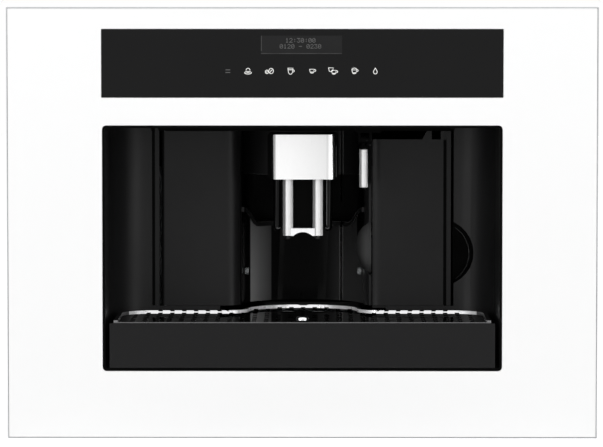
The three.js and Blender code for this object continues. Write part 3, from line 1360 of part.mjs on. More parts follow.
place('water_pump', waterPump(), steel);
place('coffee_boiler', boiler(COFFEE_BOILER_RADIUS), steel, -boilerX, boilerY, boilerBottom);
place('steam_boiler', boiler(STEAM_BOILER_RADIUS), steel, boilerX, boilerY, boilerBottom);
place('power_board', powerBoard(), board);
place('mains_inlet', mainsInlet(), blackPlastic, INLET_X, rearY, INLET_Z);
const rocker = place('main_switch', mainSwitch(), blackPlastic, SWITCH_X, rearY - ROCKER_PIVOT, INLET_Z);
rocker.rotation.x = -THREE.MathUtils.degToRad(ROCKER_TILT);
place('suction_hose', suctionHose(), rubber);

export default machine;
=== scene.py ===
"""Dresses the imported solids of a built-in coffee machine with its visible surfaces, finishes and studio.

Everything is in metres in the frame of the solids: X to the right, Y into the cabinet and Z up. Each
operator makes one piece, or a group of like pieces, and lets it ride on the body that carries it.
"""

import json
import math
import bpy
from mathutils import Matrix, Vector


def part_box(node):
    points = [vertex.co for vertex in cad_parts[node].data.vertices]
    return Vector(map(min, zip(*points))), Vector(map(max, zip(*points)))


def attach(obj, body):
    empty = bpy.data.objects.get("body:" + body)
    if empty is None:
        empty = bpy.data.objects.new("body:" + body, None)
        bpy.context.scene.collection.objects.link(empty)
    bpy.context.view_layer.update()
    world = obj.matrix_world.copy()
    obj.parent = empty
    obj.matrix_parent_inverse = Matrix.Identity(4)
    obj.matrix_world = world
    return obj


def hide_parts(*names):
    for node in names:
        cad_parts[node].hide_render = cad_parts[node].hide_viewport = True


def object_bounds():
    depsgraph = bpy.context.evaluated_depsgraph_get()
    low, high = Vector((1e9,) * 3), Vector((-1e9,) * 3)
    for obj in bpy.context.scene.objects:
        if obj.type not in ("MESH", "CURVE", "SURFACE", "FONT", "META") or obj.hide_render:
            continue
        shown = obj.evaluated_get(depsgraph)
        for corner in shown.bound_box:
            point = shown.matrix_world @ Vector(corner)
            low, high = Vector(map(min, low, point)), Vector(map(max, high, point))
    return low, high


bl_info = {
    "name": "Built-in coffee machine",
    "version": (1, 0, 0),
    "blender": (4, 5, 0),
    "location": "View3D > Sidebar > Coffee machine",
    "description": "Models the surfaces, finishes and studio of a built-in coffee machine",
    "category": "Add Mesh",
}

import bpy
from bpy.props import FloatProperty, FloatVectorProperty, IntProperty, PointerProperty
from mathutils import Vector

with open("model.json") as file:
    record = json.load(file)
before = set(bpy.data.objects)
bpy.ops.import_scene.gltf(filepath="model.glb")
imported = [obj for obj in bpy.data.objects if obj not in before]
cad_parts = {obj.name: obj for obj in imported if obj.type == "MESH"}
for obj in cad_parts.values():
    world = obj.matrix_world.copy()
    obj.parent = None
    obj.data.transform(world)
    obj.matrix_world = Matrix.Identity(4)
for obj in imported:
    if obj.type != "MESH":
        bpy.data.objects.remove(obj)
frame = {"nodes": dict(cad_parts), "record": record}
CAD_BOX = [list(corner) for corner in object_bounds()]

MM = 0.001
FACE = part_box("front_glass")[0].y


# ---------------------------------------------------------------- settings


def colour(name, description, default):
    return FloatVectorProperty(
        name=name, description=description, default=default, subtype="COLOR", min=0.0, max=1.0
    )


def length(name, description, default):
    return FloatProperty(name=name, description=description, default=default, unit="LENGTH", min=0.0)


class CoffeeMachineColours(bpy.types.PropertyGroup):
    white_glass: colour("White glass", "Paint behind the front glass", (0.965, 0.965, 0.965))
    black_glass: colour("Black glass", "Control panel glass", (0.0062, 0.0062, 0.0064))
    satin_black: colour("Satin black", "Mouldings of the cup bay", (0.0072, 0.0072, 0.0074))
    # painted highlight: a lighter grey for fine rounded edges that stand for highlight lines
    rim_grey: colour("Rim grey", "Rounded rims that catch the light", (0.03, 0.03, 0.03))
    # painted light: a lighter copy of the black plastic for the lit ledge face
    ledge_black: colour("Ledge black", "Front face of the wavy ledge", (0.011, 0.011, 0.011))
    gloss_black: colour("Gloss black", "Polished mouldings", (0.0022, 0.0022, 0.0023))
    # painted shade: a near-black, darker than the mouldings, put where shade falls
    deep_black: colour("Deep black", "Shaded hollows behind the spout", (0.0009, 0.0009, 0.0009))
    tray_grey: colour("Tray grey", "Front of the drip tray", (0.0125, 0.0125, 0.0128))
    chrome: colour("Chrome", "Polished plating", (0.93, 0.93, 0.94))
    brushed: colour("Brushed metal", "Spout cover", (0.87, 0.87, 0.88))
    zinc: colour("Zinc sheet", "Housing and frame", (0.56, 0.57, 0.58))
    steel: colour("Steel", "Rails, boilers and pump", (0.46, 0.47, 0.48))
    clear: colour("Clear plastic", "Tank and bean hopper", (0.86, 0.9, 0.91))
    board: colour("Circuit board", "Solder mask", (0.012, 0.075, 0.032))
    silicone: colour("Silicone", "Hose and valve", (0.78, 0.76, 0.7))
    red: colour("Red plastic", "Release buttons", (0.42, 0.025, 0.018))
    print_white: colour("Print", "Touch key symbols", (0.85, 0.85, 0.83))
    print_grey: colour("Dim print", "Menu key and display digits", (0.13, 0.13, 0.13))


class CoffeeMachineSizes(bpy.types.PropertyGroup):
    edge_round: length("Edge round", "Rounding of moulded edges", 0.5 * MM)
    sheet_round: length("Sheet round", "Rounding of sheet metal edges", 0.2 * MM)
    glass_round: length("Glass round", "Polished edge of the glass panes", 0.8 * MM)
    symbol_stroke: length("Symbol stroke", "Line width of the touch key symbols", 0.66 * MM)
    dot_pitch: length("Dot pitch", "Spacing of the display's dots", 0.64 * MM)
    round_sides: IntProperty(
        name="Round sides", description="Sides of turned pieces", default=48, min=12, max=128
    )


class CoffeeMachineSettings(bpy.types.PropertyGroup):
    colours: PointerProperty(type=CoffeeMachineColours, name="Colours")
    sizes: PointerProperty(type=CoffeeMachineSizes, name="Sizes")


def colours():
    return bpy.context.scene.coffee_machine.colours


def sizes():
    return bpy.context.scene.coffee_machine.sizes


# ---------------------------------------------------------------- finishes


def shader_for(name, base, roughness, metallic=0.0, specular=0.5):
    """A new material, its node tree and its shader."""
    material = bpy.data.materials.new(name)
    material.use_nodes = True
    shader = material.node_tree.nodes["Principled BSDF"]
    shader.inputs["Base Color"].default_value = (*base, 1)
    shader.inputs["Roughness"].default_value = roughness
    shader.inputs["Metallic"].default_value = metallic
    shader.inputs["Specular IOR Level"].default_value = specular
    return material, material.node_tree, shader


def speckle(tree, scale, detail=2.0, stretch=(1, 1, 1)):
    """Noise in the piece's own coordinates, with its grain stretched where the factors are below 1."""
    coordinates = tree.nodes.new("ShaderNodeTexCoord")
    mapping = tree.nodes.new("ShaderNodeMapping")
    mapping.inputs["Scale"].default_value = stretch
    noise = tree.nodes.new("ShaderNodeTexNoise")
    noise.inputs["Scale"].default_value = scale
    noise.inputs["Detail"].default_value = detail
    tree.links.new(coordinates.outputs["Object"], mapping.inputs["Vector"])
    tree.links.new(mapping.outputs["Vector"], noise.inputs["Vector"])
    return noise.outputs["Fac"]


def vary(tree, pattern, socket, low, high):
    """Lets a pattern move a shader's value between two limits."""
    remap = tree.nodes.new("ShaderNodeMapRange")
    remap.inputs["From Min"].default_value = 0.3
    remap.inputs["From Max"].default_value = 0.7
    remap.inputs["To Min"].default_value = low
    remap.inputs["To Max"].default_value = high
    tree.links.new(pattern, remap.inputs["Value"])
    tree.links.new(remap.outputs["Result"], socket)


def tint(tree, pattern, socket, base, dark, light):
    """Lets a pattern move the colour between two shades of its base."""
    ramp = tree.nodes.new("ShaderNodeValToRGB")
    first, last = ramp.color_ramp.elements
    first.position, last.position = 0.3, 0.7
    first.color = (*[min(1, c * dark) for c in base], 1)
    last.color = (*[min(1, c * light) for c in base], 1)
    tree.links.new(pattern, ramp.inputs["Fac"])
    tree.links.new(ramp.outputs["Color"], socket)


def emboss(tree, shader, pattern, depth, strength):
    bump = tree.nodes.new("ShaderNodeBump")
    bump.inputs["Distance"].default_value = depth
    bump.inputs["Strength"].default_value = strength
    tree.links.new(pattern, bump.inputs["Height"])
    tree.links.new(bump.outputs["Normal"], shader.inputs["Normal"])


def shade_across(tree, socket, shades, period=None):
    """Shades by the X position, or by its place within a repeated width, between the first and last stop."""
    low, high = shades[0][0], shades[-1][0]
    coordinates = tree.nodes.new("ShaderNodeTexCoord")
    axes = tree.nodes.new("ShaderNodeSeparateXYZ")
    across = tree.nodes.new("ShaderNodeMapRange")
    across.inputs["From Min"].default_value = low
    across.inputs["From Max"].default_value = high
    ramp = tree.nodes.new("ShaderNodeValToRGB")
    tree.links.new(coordinates.outputs["Object"], axes.inputs["Vector"])
    place = axes.outputs["X"]
    if period:
        wrap = tree.nodes.new("ShaderNodeMath")
        wrap.operation = "WRAP"
        wrap.inputs[1].default_value = period
        wrap.inputs[2].default_value = 0
        tree.links.new(place, wrap.inputs[0])
        place = wrap.outputs["Value"]
    tree.links.new(place, across.inputs["Value"])
    tree.links.new(across.outputs["Result"], ramp.inputs["Fac"])
    elements = ramp.color_ramp.elements
    while len(elements) > 1:
        elements.remove(elements[0])
    for x, shade in shades:
        share = (x - low) / (high - low)
        stop = elements.new(share) if share else elements[0]
        stop.position, stop.color = share, (shade, shade, shade, 1)
    tree.links.new(ramp.outputs["Color"], socket)


def grained(
    base, roughness, tone=None, shine=None, relief=None,
    metallic=0.0, specular=0.5, share=1.0, shades=None, inputs=None,
):
    """A maker of a finish whose colour, roughness and relief follow grains or shades.

    The base is a colour setting, of which a share is taken, or a colour. A tone or shine is (scale, detail,
    low, high) and a relief (scale, depth in mm, strength), with its stretch at the end where it runs one way.
    """
    def make(name):
        colour = getattr(colours(), base) if isinstance(base, str) else base
        colour = [part * share for part in colour]
        material, tree, shader = shader_for(name, colour, roughness, metallic, specular)
        for socket, value in (inputs or {}).items():
            shader.inputs[socket].default_value = value
        if tone:
            scale, detail, dark, light, *stretch = tone
            grain = speckle(tree, scale, detail, *stretch)
            tint(tree, grain, shader.inputs["Base Color"], colour, dark, light)
        if shades:
            shade_across(tree, shader.inputs["Base Color"], [(x * MM, shade) for x, shade in shades])
        if shine:
            scale, detail, low, high, *stretch = shine
            vary(tree, speckle(tree, scale, detail, *stretch), shader.inputs["Roughness"], low, high)
        if relief:
            scale, depth, strength, *stretch = relief
            emboss(tree, shader, speckle(tree, scale, 2, *stretch), depth * MM, strength)
        return material
    return make


LEG_X, LEG_RADIUS = 15.5 * MM, 5.3 * MM
WAND_X, WAND_RADIUS = 62.8 * MM, 4.5 * MM
UPRIGHT = (1, 1, 0.03)
BRUSHED = (1, 1, 0.015)
# stops of painted reflection and painted light from left to right, by the place in millimetres
# painted reflection: a bright band on the left of the recess wall, fading to the right
WALL_REFLECTION_SHADES = [(-64, 0.003), (-55.8, 0.003), (-55.2, 0.24), (-45, 0.13), (-34.2, 0.06), (-33.5, 0.006),
               (-20, 0.002), (20, 0.002), (40, 0.03), (58, 0.03), (64, 0.03)]
# painted light: the left finger hollow lighter towards its right
SCOOP_LIGHT_SHADES = [(54, 0.002), (57, 0.006), (60, 0.03), (66, 0.12)]
# painted reflection: the spout cover dark in a strip at its left, bright at its right edge
COVER_REFLECTION_SHADES = [(-33, 0.3), (-31.2, 0.13), (-30.2, 0.15), (-29.2, 0.22), (-28.4, 0.5), (-27.4, 0.91),
                (-15, 0.9), (0, 0.86), (24, 0.77), (25, 0.68), (26.1, 0.7), (27.1, 0.95), (33, 1.0)]
# painted reflection bands round a tube, by the share of its radius: its colour and how metallic it is
TUBE_REFLECTION_SHADES = [(-1, 0.5), (-0.8, 0.6), (-0.6, 0.42), (-0.42, 0.45), (-0.22, 0.85), (-0.02, 0.92),
               (0.18, 0.78), (0.38, 0.58), (0.5, 0.8), (0.58, 1.0), (1, 1.0)]
TUBE_REFLECTION_METALLIC = [(-1, 0.4), (-0.5, 0.6), (0.4, 0.6), (0.55, 0.05), (1, 0.05)]


def reflection_banded_tube(middle, radius, period=None):
    """Plating on a round upright tube, with painted reflection bands along it in its colour and metallic
    level.
    """
    def make(name):
        material, tree, shader = shader_for(name, colours().chrome, 0.34, metallic=0.5)
        for socket, stops in (("Base Color", TUBE_REFLECTION_SHADES), ("Metallic", TUBE_REFLECTION_METALLIC)):
            stops = [(middle + share * radius, shade) for share, shade in stops]
            shade_across(tree, shader.inputs[socket], stops, period)
        vary(tree, speckle(tree, 1600, 3, UPRIGHT), shader.inputs["Roughness"], 0.3, 0.38)
        return material
    return make


def zinc(name):
    """Plated sheet, with faint crystals and rolling marks."""
    base = colours().zinc
    material, tree, shader = shader_for(name, base, 0.42, metallic=0.85)
    coordinates = tree.nodes.new("ShaderNodeTexCoord")
    crystals = tree.nodes.new("ShaderNodeTexVoronoi")
    crystals.inputs["Scale"].default_value = 260
    tree.links.new(coordinates.outputs["Object"], crystals.inputs["Vector"])
    tint(tree, crystals.outputs["Distance"], shader.inputs["Base Color"], base, 0.97, 1.02)
    vary(tree, speckle(tree, 260, 3, (1, 0.08, 1)), shader.inputs["Roughness"], 0.34, 0.5)
    emboss(tree, shader, speckle(tree, 700, 2, (1, 0.1, 1)), 0.03 * MM, 0.12)
    return material


def circuit_board(name):
    """Solder mask over rows of tracks."""
    base = colours().board
    material, tree, shader = shader_for(name, base, 0.35)
    coordinates = tree.nodes.new("ShaderNodeTexCoord")
    tracks = tree.nodes.new("ShaderNodeTexBrick")
    tracks.inputs["Scale"].default_value = 160
    for socket, share in (("Color1", 1), ("Color2", 1.3), ("Mortar", 0.6)):
        tracks.inputs[socket].default_value = (*[c * share for c in base], 1)
    tree.links.new(coordinates.outputs["Object"], tracks.inputs["Vector"])
    tree.links.new(tracks.outputs["Color"], shader.inputs["Base Color"])
    vary(tree, speckle(tree, 120, 3), shader.inputs["Roughness"], 0.28, 0.42)
    return material


def printed(name):
    """Ink or lit film behind the control glass, which shows at its own colour."""
    glow = getattr(colours(), name)
    ink = [c * 0.4 for c in glow]
    material, tree, shader = shader_for(name, ink, 0.5, specular=0.1)
    shader.inputs["Emission Color"].default_value = (*glow, 1)
    shader.inputs["Emission Strength"].default_value = 0.75
    tint(tree, speckle(tree, 500, 2), shader.inputs["Base Color"], ink, 0.9, 1.1)
    return material


# the finishes of the record's material slots, then those of single faces and pieces
FINISHES = {
    "white_glass": grained("white_glass", 0.35, (3, 3, 0.995, 1.005), (14, 4, 0.3, 0.4), specular=0.3,
                           inputs={"Coat Weight": 0.6, "Coat Roughness": 0.03}),
    "black_glass": grained("black_glass", 0.05, (5, 3, 0.94, 1.06), (18, 4, 0.04, 0.09), specular=0.12),
    "black_plastic": grained("satin_black", 0.4, (40, 3, 0.92, 1.08), (9, 4, 0.34, 0.44),
                             (2600, 0.05, 0.12), specular=0.18),
    "gloss_black": grained("gloss_black", 0.08, (30, 3, 0.9, 1.1), (24, 4, 0.06, 0.12), specular=0.12),
    "dark_grey": grained("tray_grey", 0.5, (900, 3, 0.9, 1.1), (20, 4, 0.46, 0.56),
                         (2200, 0.05, 0.14), specular=0.09),
    "chrome": grained("chrome", 0.07, (60, 2, 0.98, 1.01), (70, 4, 0.05, 0.1), metallic=1.0),
    "zinc": zinc,
    "steel": grained("steel", 0.3, (35, 4, 0.9, 1.1), (900, 3, 0.22, 0.38, (1, 0.05, 1)), metallic=1.0),
    "clear_plastic": grained("clear", 0.08, (30, 2, 0.97, 1.03), (50, 4, 0.05, 0.14),
                             inputs={"Transmission Weight": 0.9, "IOR": 1.49}),
    "board": circuit_board,
    "silicone": grained("silicone", 0.55, (120, 3, 0.94, 1.04), (200, 3, 0.48, 0.62), specular=0.35,
                        inputs={"Subsurface Weight": 0.2, "Subsurface Scale": 1.5 * MM}),
    "red_plastic": grained("red", 0.4, (300, 3, 0.92, 1.06), relief=(2400, 0.04, 0.1)),
    # painted shade: the near-black finish for hollows, grooves and shaded parts
    "deep_black": grained("deep_black", 0.4, (40, 3, 0.8, 1.2), (24, 4, 0.35, 0.5), specular=0.03),
    # painted highlight: lighter grey and glossy, for the fine edge lines
    "bright_edge": grained("rim_grey", 0.22, (30, 3, 0.9, 1.1), (60, 4, 0.18, 0.28), specular=0.9),
    # painted light: the ledge face in a lighter black
    "ledge_face": grained("ledge_black", 0.3, (30, 3, 0.9, 1.1), (24, 4, 0.25, 0.35), specular=0.1),
    # painted reflection: the recess wall's colour follows the ramp across X
    "recess_wall": grained("gloss_black", 0.07, shine=(24, 4, 0.05, 0.1), specular=0.02, shades=WALL_REFLECTION_SHADES),
    # painted light: the hollow's colour follows the ramp across X
    "scoop_wall": grained("ledge_black", 0.2, shine=(24, 4, 0.16, 0.26), specular=0.08, shades=SCOOP_LIGHT_SHADES),
    # painted reflection on the brushed cover, by the ramp across X
    "cover_steel": grained("brushed", 0.24, shine=(2400, 3, 0.2, 0.28, BRUSHED), metallic=1.0,
                           relief=(1900, 0.02, 0.08, BRUSHED), shades=COVER_REFLECTION_SHADES),
    "satin_chrome": grained("chrome", 0.34, (900, 2, 0.93, 1.0, (1, 1, 0.05)),
                            (1600, 3, 0.3, 0.38, UPRIGHT), metallic=0.85),
    "mirror_steel": grained("chrome", 0.015, (25, 2, 0.96, 1.0), (40, 3, 0.008, 0.022), metallic=1.0),
    # painted light: a lighter, less metallic copy of the chrome for the grid's rim slopes
    "rim_steel": grained("chrome", 0.3, (90, 3, 0.95, 1.03), (140, 3, 0.24, 0.36), metallic=0.25),
    # painted shade: the chrome darkened to a fifth, for the grid's front faces and rim ends and the drain
    # rims
    "dull_steel": grained("chrome", 0.3, (90, 3, 0.92, 1.08), (140, 3, 0.26, 0.36), metallic=0.9, share=0.2),
    # painted reflection bands on the spout's legs and the wand
    "leg_chrome": reflection_banded_tube(LEG_X, LEG_RADIUS, 2 * LEG_X),
    "wand_chrome": reflection_banded_tube(WAND_X, WAND_RADIUS),
    "window_film": grained((0.0125, 0.0125, 0.0128), 0.12, (60, 2, 0.95, 1.08), specular=0.14),
    # painted highlight: a lighter grey for the display window's left and foot edges
    "window_edge": grained((0.045, 0.045, 0.045), 0.3, (60, 2, 0.6, 1.2), specular=0.2),
    "print_white": printed,
    "print_grey": printed,
}
made_finishes = {}


def finish(slot):
    """The finish of a material slot, or of a face or piece of its own, made once."""
    if slot not in made_finishes:
        made_finishes[slot] = FINISHES[slot](slot)
    return made_finishes[slot]


def slot_of(node):
    return next(part["material_slot"] for part in frame["record"]["subparts"] if part["node"] == node)


def body_of(node):
    bodies = frame["record"]["behaviour"]["bodies"]
    return next(body for body, nodes in bodies.items() if node in nodes)


# ---------------------------------------------------------------- modelling helpers

MERGE = 0.004 * MM


def placed(name, data):
    """A new object in the scene."""
    piece = bpy.data.objects.new(name, data)
    bpy.context.scene.collection.objects.link(piece)
    return piece


def pick(*pieces):
    """Selects these pieces and nothing else, with the first one active."""
    if bpy.context.object and bpy.context.object.mode != "OBJECT":
        bpy.ops.object.mode_set(mode="OBJECT")
    for selected in bpy.context.selected_objects:
        selected.select_set(False)
    for piece in pieces:
        piece.select_set(True)
    bpy.context.view_layer.objects.active = pieces[0] if pieces else None


def apply_transform():
    bpy.ops.object.transform_apply(location=True, rotation=True, scale=True)


def in_edit_mode(piece, *steps):
    """Runs mesh operators, each on the whole of a piece unless it leaves a selection to the next."""
    pick(piece)
    bpy.ops.object.mode_set(mode="EDIT")
    bpy.ops.mesh.select_all(action="SELECT")
    for step in steps:
        step()
    bpy.ops.object.mode_set(mode="OBJECT")


def select_all():
    bpy.ops.mesh.select_all(action="SELECT")


def merge():
    bpy.ops.mesh.remove_doubles(threshold=MERGE)


def coat(piece, slot):
    """Gives the whole of a piece one finish."""
    piece.data.materials.clear()
    piece.data.materials.append(finish(slot))


def paint_faces(piece, slot, wanted):
    """Gives the faces that a test of their place and normal picks out another finish."""
    piece.data.materials.append(finish(slot))
    index = len(piece.data.materials) - 1
    for face in piece.data.polygons:
        if wanted(face.center, face.normal):
            face.material_index = index


def apply_modifier(piece, kind, **values):
    pick(piece)
    modifier = piece.modifiers.new(kind.title(), kind)
    for name, value in values.items():
        setattr(modifier, name, value)
    bpy.ops.object.modifier_apply(modifier=modifier.name)


def soften(piece, width=0.0, segments=2, angle=32):
    """Rounds the sharp edges of a piece and shades its curves smooth, with its flats kept flat."""
    angle = math.radians(angle)
    if width:
        apply_modifier(
            piece, "BEVEL", width=width, segments=segments, limit_method="ANGLE", angle_limit=angle,
            use_clamp_overlap=True, miter_outer="MITER_ARC",
        )
    pick(piece)
    bpy.ops.object.shade_smooth_by_angle(angle=angle)
    if width:
        apply_modifier(piece, "WEIGHTED_NORMAL", keep_sharp=True, weight=90)


def settle(piece, name, slot, body):
    """Names a finished piece, gives it its finish and lets it ride on its body."""
    pick(piece)
    apply_transform()
    piece.name = name
    piece.data.name = name
    if not piece.data.materials:
        coat(piece, slot)
    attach(piece, body)
    return piece


def stand_in(piece, name, node):
    """Settles a piece on the body of the solid that it replaces."""
    settle(piece, name, slot_of(node), body_of(node))
    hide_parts(node)
    return piece


def copied(node, name):
    """A merged copy of a solid's mesh, its corner normals free again."""
    piece = placed(name, frame["nodes"][node].data.copy())
    piece.data.materials.clear()
    pick(piece)
    bpy.ops.mesh.customdata_custom_splitnormals_clear()
    in_edit_mode(piece, merge)
    return piece


def dress(node, width=None, segments=2, surface=None, channel=None):
    """Stands a soft-edged copy in for a solid whose shape is already right, or lacks only a channel."""
    piece = copied(node, f"{node}_skin")
    if channel:
        cutter = block(*channel)
        apply_modifier(piece, "BOOLEAN", operation="DIFFERENCE", solver="EXACT", object=cutter)
        bpy.data.objects.remove(cutter)
        piece.data.materials.clear()
    soften(piece, sizes().edge_round if width is None else width, segments)
    if surface:
        coat(piece, surface)
    return stand_in(piece, f"{node}_skin", node)


def block(low, high):
    """A box between two corners, as a new selected piece."""
    low, high = Vector(low), Vector(high)
    pick()
    bpy.ops.mesh.primitive_cube_add(size=1, location=(low + high) / 2)
    piece = bpy.context.object
    piece.scale = high - low
    apply_transform()
    return piece


def built(name, corners, edges, faces, *steps):
    """A new piece that the steps close, with its faces outward."""
    mesh = bpy.data.meshes.new(name)
    mesh.from_pydata(corners, edges, faces)
    piece = placed(name, mesh)
    in_edit_mode(piece, *steps, select_all, lambda: bpy.ops.mesh.normals_make_consistent(inside=False))
    return piece


def turned(profile, foot):
    """Spins a profile of (radius, height) pairs round the upright axis through a point and closes it."""
    def spin():
        bpy.ops.mesh.spin(steps=sizes().round_sides, angle=2 * math.pi, center=(0, 0, 0), axis=(0, 0, 1))
    corners = [(r, 0, z) for r, z in profile]
    edges = [(i, i + 1) for i in range(len(profile) - 1)]
    piece = built("turned", corners, edges, [], spin, select_all, merge)
    piece.location = foot
    pick(piece)
    apply_transform()
    return piece


def extruded(name, corners, faces, depth):
    """Flat upright faces drawn out along Y."""
    def extrude():
        bpy.ops.mesh.extrude_region_move(TRANSFORM_OT_translate={"value": (0, depth, 0)})
    return built(name, corners, [], faces, extrude)


def drawn(name, runs, radius):
    """Round bars along runs of points, in one mesh."""
    curve = bpy.data.curves.new(name, "CURVE")
    curve.dimensions = "3D"
    curve.bevel_depth = radius
    curve.bevel_resolution = 2
    curve.use_fill_caps = True
    for run in runs:
        spline = curve.splines.new("POLY")
        spline.points.add(len(run) - 1)
        for point, place in zip(spline.points, run):
            point.co = (*place, 1)
    pick(placed(name, curve))
    bpy.ops.object.convert(target="MESH")
    return bpy.context.object


def trim(name, body, radius, points, surface="bright_edge", slot="gloss_black"):
    """A fine rounded edge along a run of points, by default in the painted highlight finish."""
    piece = drawn(name, [points], radius)
    soften(piece, angle=60)
    coat(piece, surface)
    settle(piece, name, slot, body)


def joined(pieces):
    pick(*pieces)
    bpy.ops.object.join()
    return bpy.context.object


def arc(x, z, radius_x, radius_z, start, end, steps=14):
    """Points along an ellipse, from one angle in degrees to another."""
    angles = [math.radians(start + (end - start) * i / steps) for i in range(steps + 1)]
    return [(x + radius_x * math.cos(a), z + radius_z * math.sin(a)) for a in angles]


# ---------------------------------------------------------------- control panel

KEY_HEIGHT = 363.7 * MM
KEY_PLACES = [x * MM for x in (-74.8, -54.5, -33.1, -11.9, 9.7, 30.3, 52.2, 73.3)]
DISPLAY_LEFT, DISPLAY_RIGHT = -41.5 * MM, 39.9 * MM
DISPLAY_FOOT, DISPLAY_TOP = 381.0 * MM, 399.3 * MM
DISPLAY_EDGE = 0.8 * MM
DISPLAY_ROWS = (("display_clock", "12:30:00", 396.5 * MM), ("display_counts", "0120 - 0230", 390.5 * MM))
DISPLAY_MIDDLE = -1.2 * MM
PRINT_DEPTH = 0.15 * MM
SYMBOL_THICKNESS = 0.1 * MM
# symbols are runs of (x, z) points round their middle, in millimetres
CUP = [(-2.4, 1.9), (-1.7, -1.1), (-0.9, -1.9), (0.9, -1.9), (1.7, -1.1), (2.4, 1.9), (-2.4, 1.9)]
CUP_HANDLE = arc(2.3, 0.6, 1.5, 1.1, 80, -80, 8)
TALL_CUP = [(-2.6, 3.0), (-1.9, -1.6), (-0.9, -3.0), (0.9, -3.0), (1.9, -1.6), (2.6, 3.0), (-2.6, 3.0)]
KEY_SYMBOLS = {
    "menu": [[(-2.4, 1.3), (2.4, 1.3)], [(-2.4, -1.3), (2.4, -1.3)]],
    "steam": [arc(0, 1.2, 1.9, 1.7, -20, 200), arc(0, -1.6, 3.5, 1.3, 0, 360), [(-1.6, -1.5), (1.6, -1.5)]],
    "strength": [arc(-2.5, -0.7, 1.5, 1.8, 0, 360), arc(1.8, 0.2, 2.3, 2.7, 0, 360),
                 [(0.6, -1.4), (1.6, 0.3), (3.0, 1.6)], [(-3.1, -1.4), (-2.0, 0.1)]],
    "tall_cup": [TALL_CUP, [(-2.2, 1.4), (2.2, 1.4)], arc(2.5, 0.2, 1.3, 1.2, 80, -80, 8)],
    "small_cup": [CUP, CUP_HANDLE, [(-1.3, -0.9), (1.3, -0.9)]],
    "two_cups": [[(x - 1.6, z + 1.5) for x, z in CUP], [(x + 1.4, z - 1.1) for x, z in CUP],
                 [(x + 1.4, z - 1.1) for x, z in CUP_HANDLE], [(0.2, -2.2), (2.6, -2.2)]],
    "mug": [[(x, z - 0.6) for x, z in CUP], arc(0, 1.4, 2.5, 1.7, 0, 180), CUP_HANDLE,
            [(-1.3, -1.6), (1.3, -1.6)]],
    "water": [[(0, 3.3), (-1.2, 1.0), *arc(0, -0.7, 1.9, 2.0, 160, 380, 16), (1.2, 1.0), (0, 3.3)]],
}
# rows of dots from the top down, on a field six dots wide
DIGITS = {
    "1": "00100 01100 00100 00100 00100 00100 01110",
    "2": "01110 10001 00001 00010 00100 01000 11111",
    "3": "11111 00010 00100 00010 00001 10001 01110",
    "0": "01110 10001 10011 10101 11001 10001 01110",
    ":": "00000 00100 00100 00000 00100 00100 00000",
    "-": "00000 00000 00000 11111 00000 00000 00000",
    " ": "00000 00000 00000 00000 00000 00000 00000",
}
FIELD_WIDTH = 6
DOT_SHARE = 0.84


def dot_row(text, middle_x, top_z):
    """A line of display characters as small raised dots, all in one mesh."""
    pitch = sizes().dot_pitch
    half = pitch * DOT_SHARE / 2
    start = middle_x - len(text) * FIELD_WIDTH * pitch / 2
    corners, faces = [], []
    for place, character in enumerate(text):
        for row, dots in enumerate(DIGITS[character].split()):
            for column, dot in enumerate(dots):
                if dot == "0":
                    continue
                x, z = start + (place * FIELD_WIDTH + column) * pitch, top_z - row * pitch
                faces.append(range(len(corners), len(corners) + 4))
                for dx, dz in ((-half, -half), (half, -half), (half, half), (-half, half)):
                    corners.append((x + dx, FACE + PRINT_DEPTH, z + dz))
    return extruded("display_dots", corners, faces, -PRINT_DEPTH * 0.6)


def symbol(lines, place):
    """Raised lines on the control glass, flattened to the thickness of a print."""
    width = sizes().symbol_stroke
    piece = drawn("symbol", [[(x * MM, 0, z * MM) for x, z in line] for line in lines], width / 2)
    piece.scale.y = SYMBOL_THICKNESS / width
    piece.location = place
    apply_transform()
    soften(piece)
    return piece


class COFFEE_OT_control_panel(bpy.types.Operator):
    """Makes the control glass, its display window and digits, and the touch key symbols"""

    bl_idname = "coffee.control_panel"
    bl_label = "Control panel"

    def execute(self, context):
        low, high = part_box("control_glass")
        glass = block((low.x, FACE + PRINT_DEPTH, low.z), high)
        soften(glass, 0.35 * MM, 3)
        stand_in(glass, "control_glass_pane", "control_glass")

        front, back = FACE + PRINT_DEPTH * 0.3, FACE + PRINT_DEPTH
        film = block((DISPLAY_LEFT, FACE + PRINT_DEPTH * 0.55, DISPLAY_FOOT),
                     (DISPLAY_RIGHT, FACE + PRINT_DEPTH * 1.5, DISPLAY_TOP))
        soften(film, 0.05 * MM, 1)
        coat(film, "window_film")
        settle(film, "display_window", "black_glass", "appliance")
        # painted highlight: lighter strips on the left and foot of the window only
        left = block((DISPLAY_LEFT, front, DISPLAY_FOOT + 3 * MM),
                     (DISPLAY_LEFT + DISPLAY_EDGE, back, DISPLAY_TOP))
        foot = block((DISPLAY_LEFT, front, DISPLAY_FOOT), (DISPLAY_RIGHT, back, DISPLAY_FOOT + DISPLAY_EDGE))
        edges = joined([left, foot])
        soften(edges, 0.04 * MM, 1)
        coat(edges, "window_edge")
        settle(edges, "display_edge", "black_glass", "appliance")

        for name, text, height in DISPLAY_ROWS:
            dots = dot_row(text, DISPLAY_MIDDLE, height)
            coat(dots, "print_grey")
            settle(dots, name, "white_glass", "appliance")
        for x, (name, lines) in zip(KEY_PLACES, KEY_SYMBOLS.items()):
            key = symbol(lines, (x, FACE + SYMBOL_THICKNESS, KEY_HEIGHT))
            coat(key, "print_grey" if name == "menu" else "print_white")
            settle(key, f"key_{name}", "white_glass", "appliance")
        for node in ("display_module", "control_board"):
            coat(frame["nodes"][node], slot_of(node))
        return {"FINISHED"}


# ---------------------------------------------------------------- front and cup bay


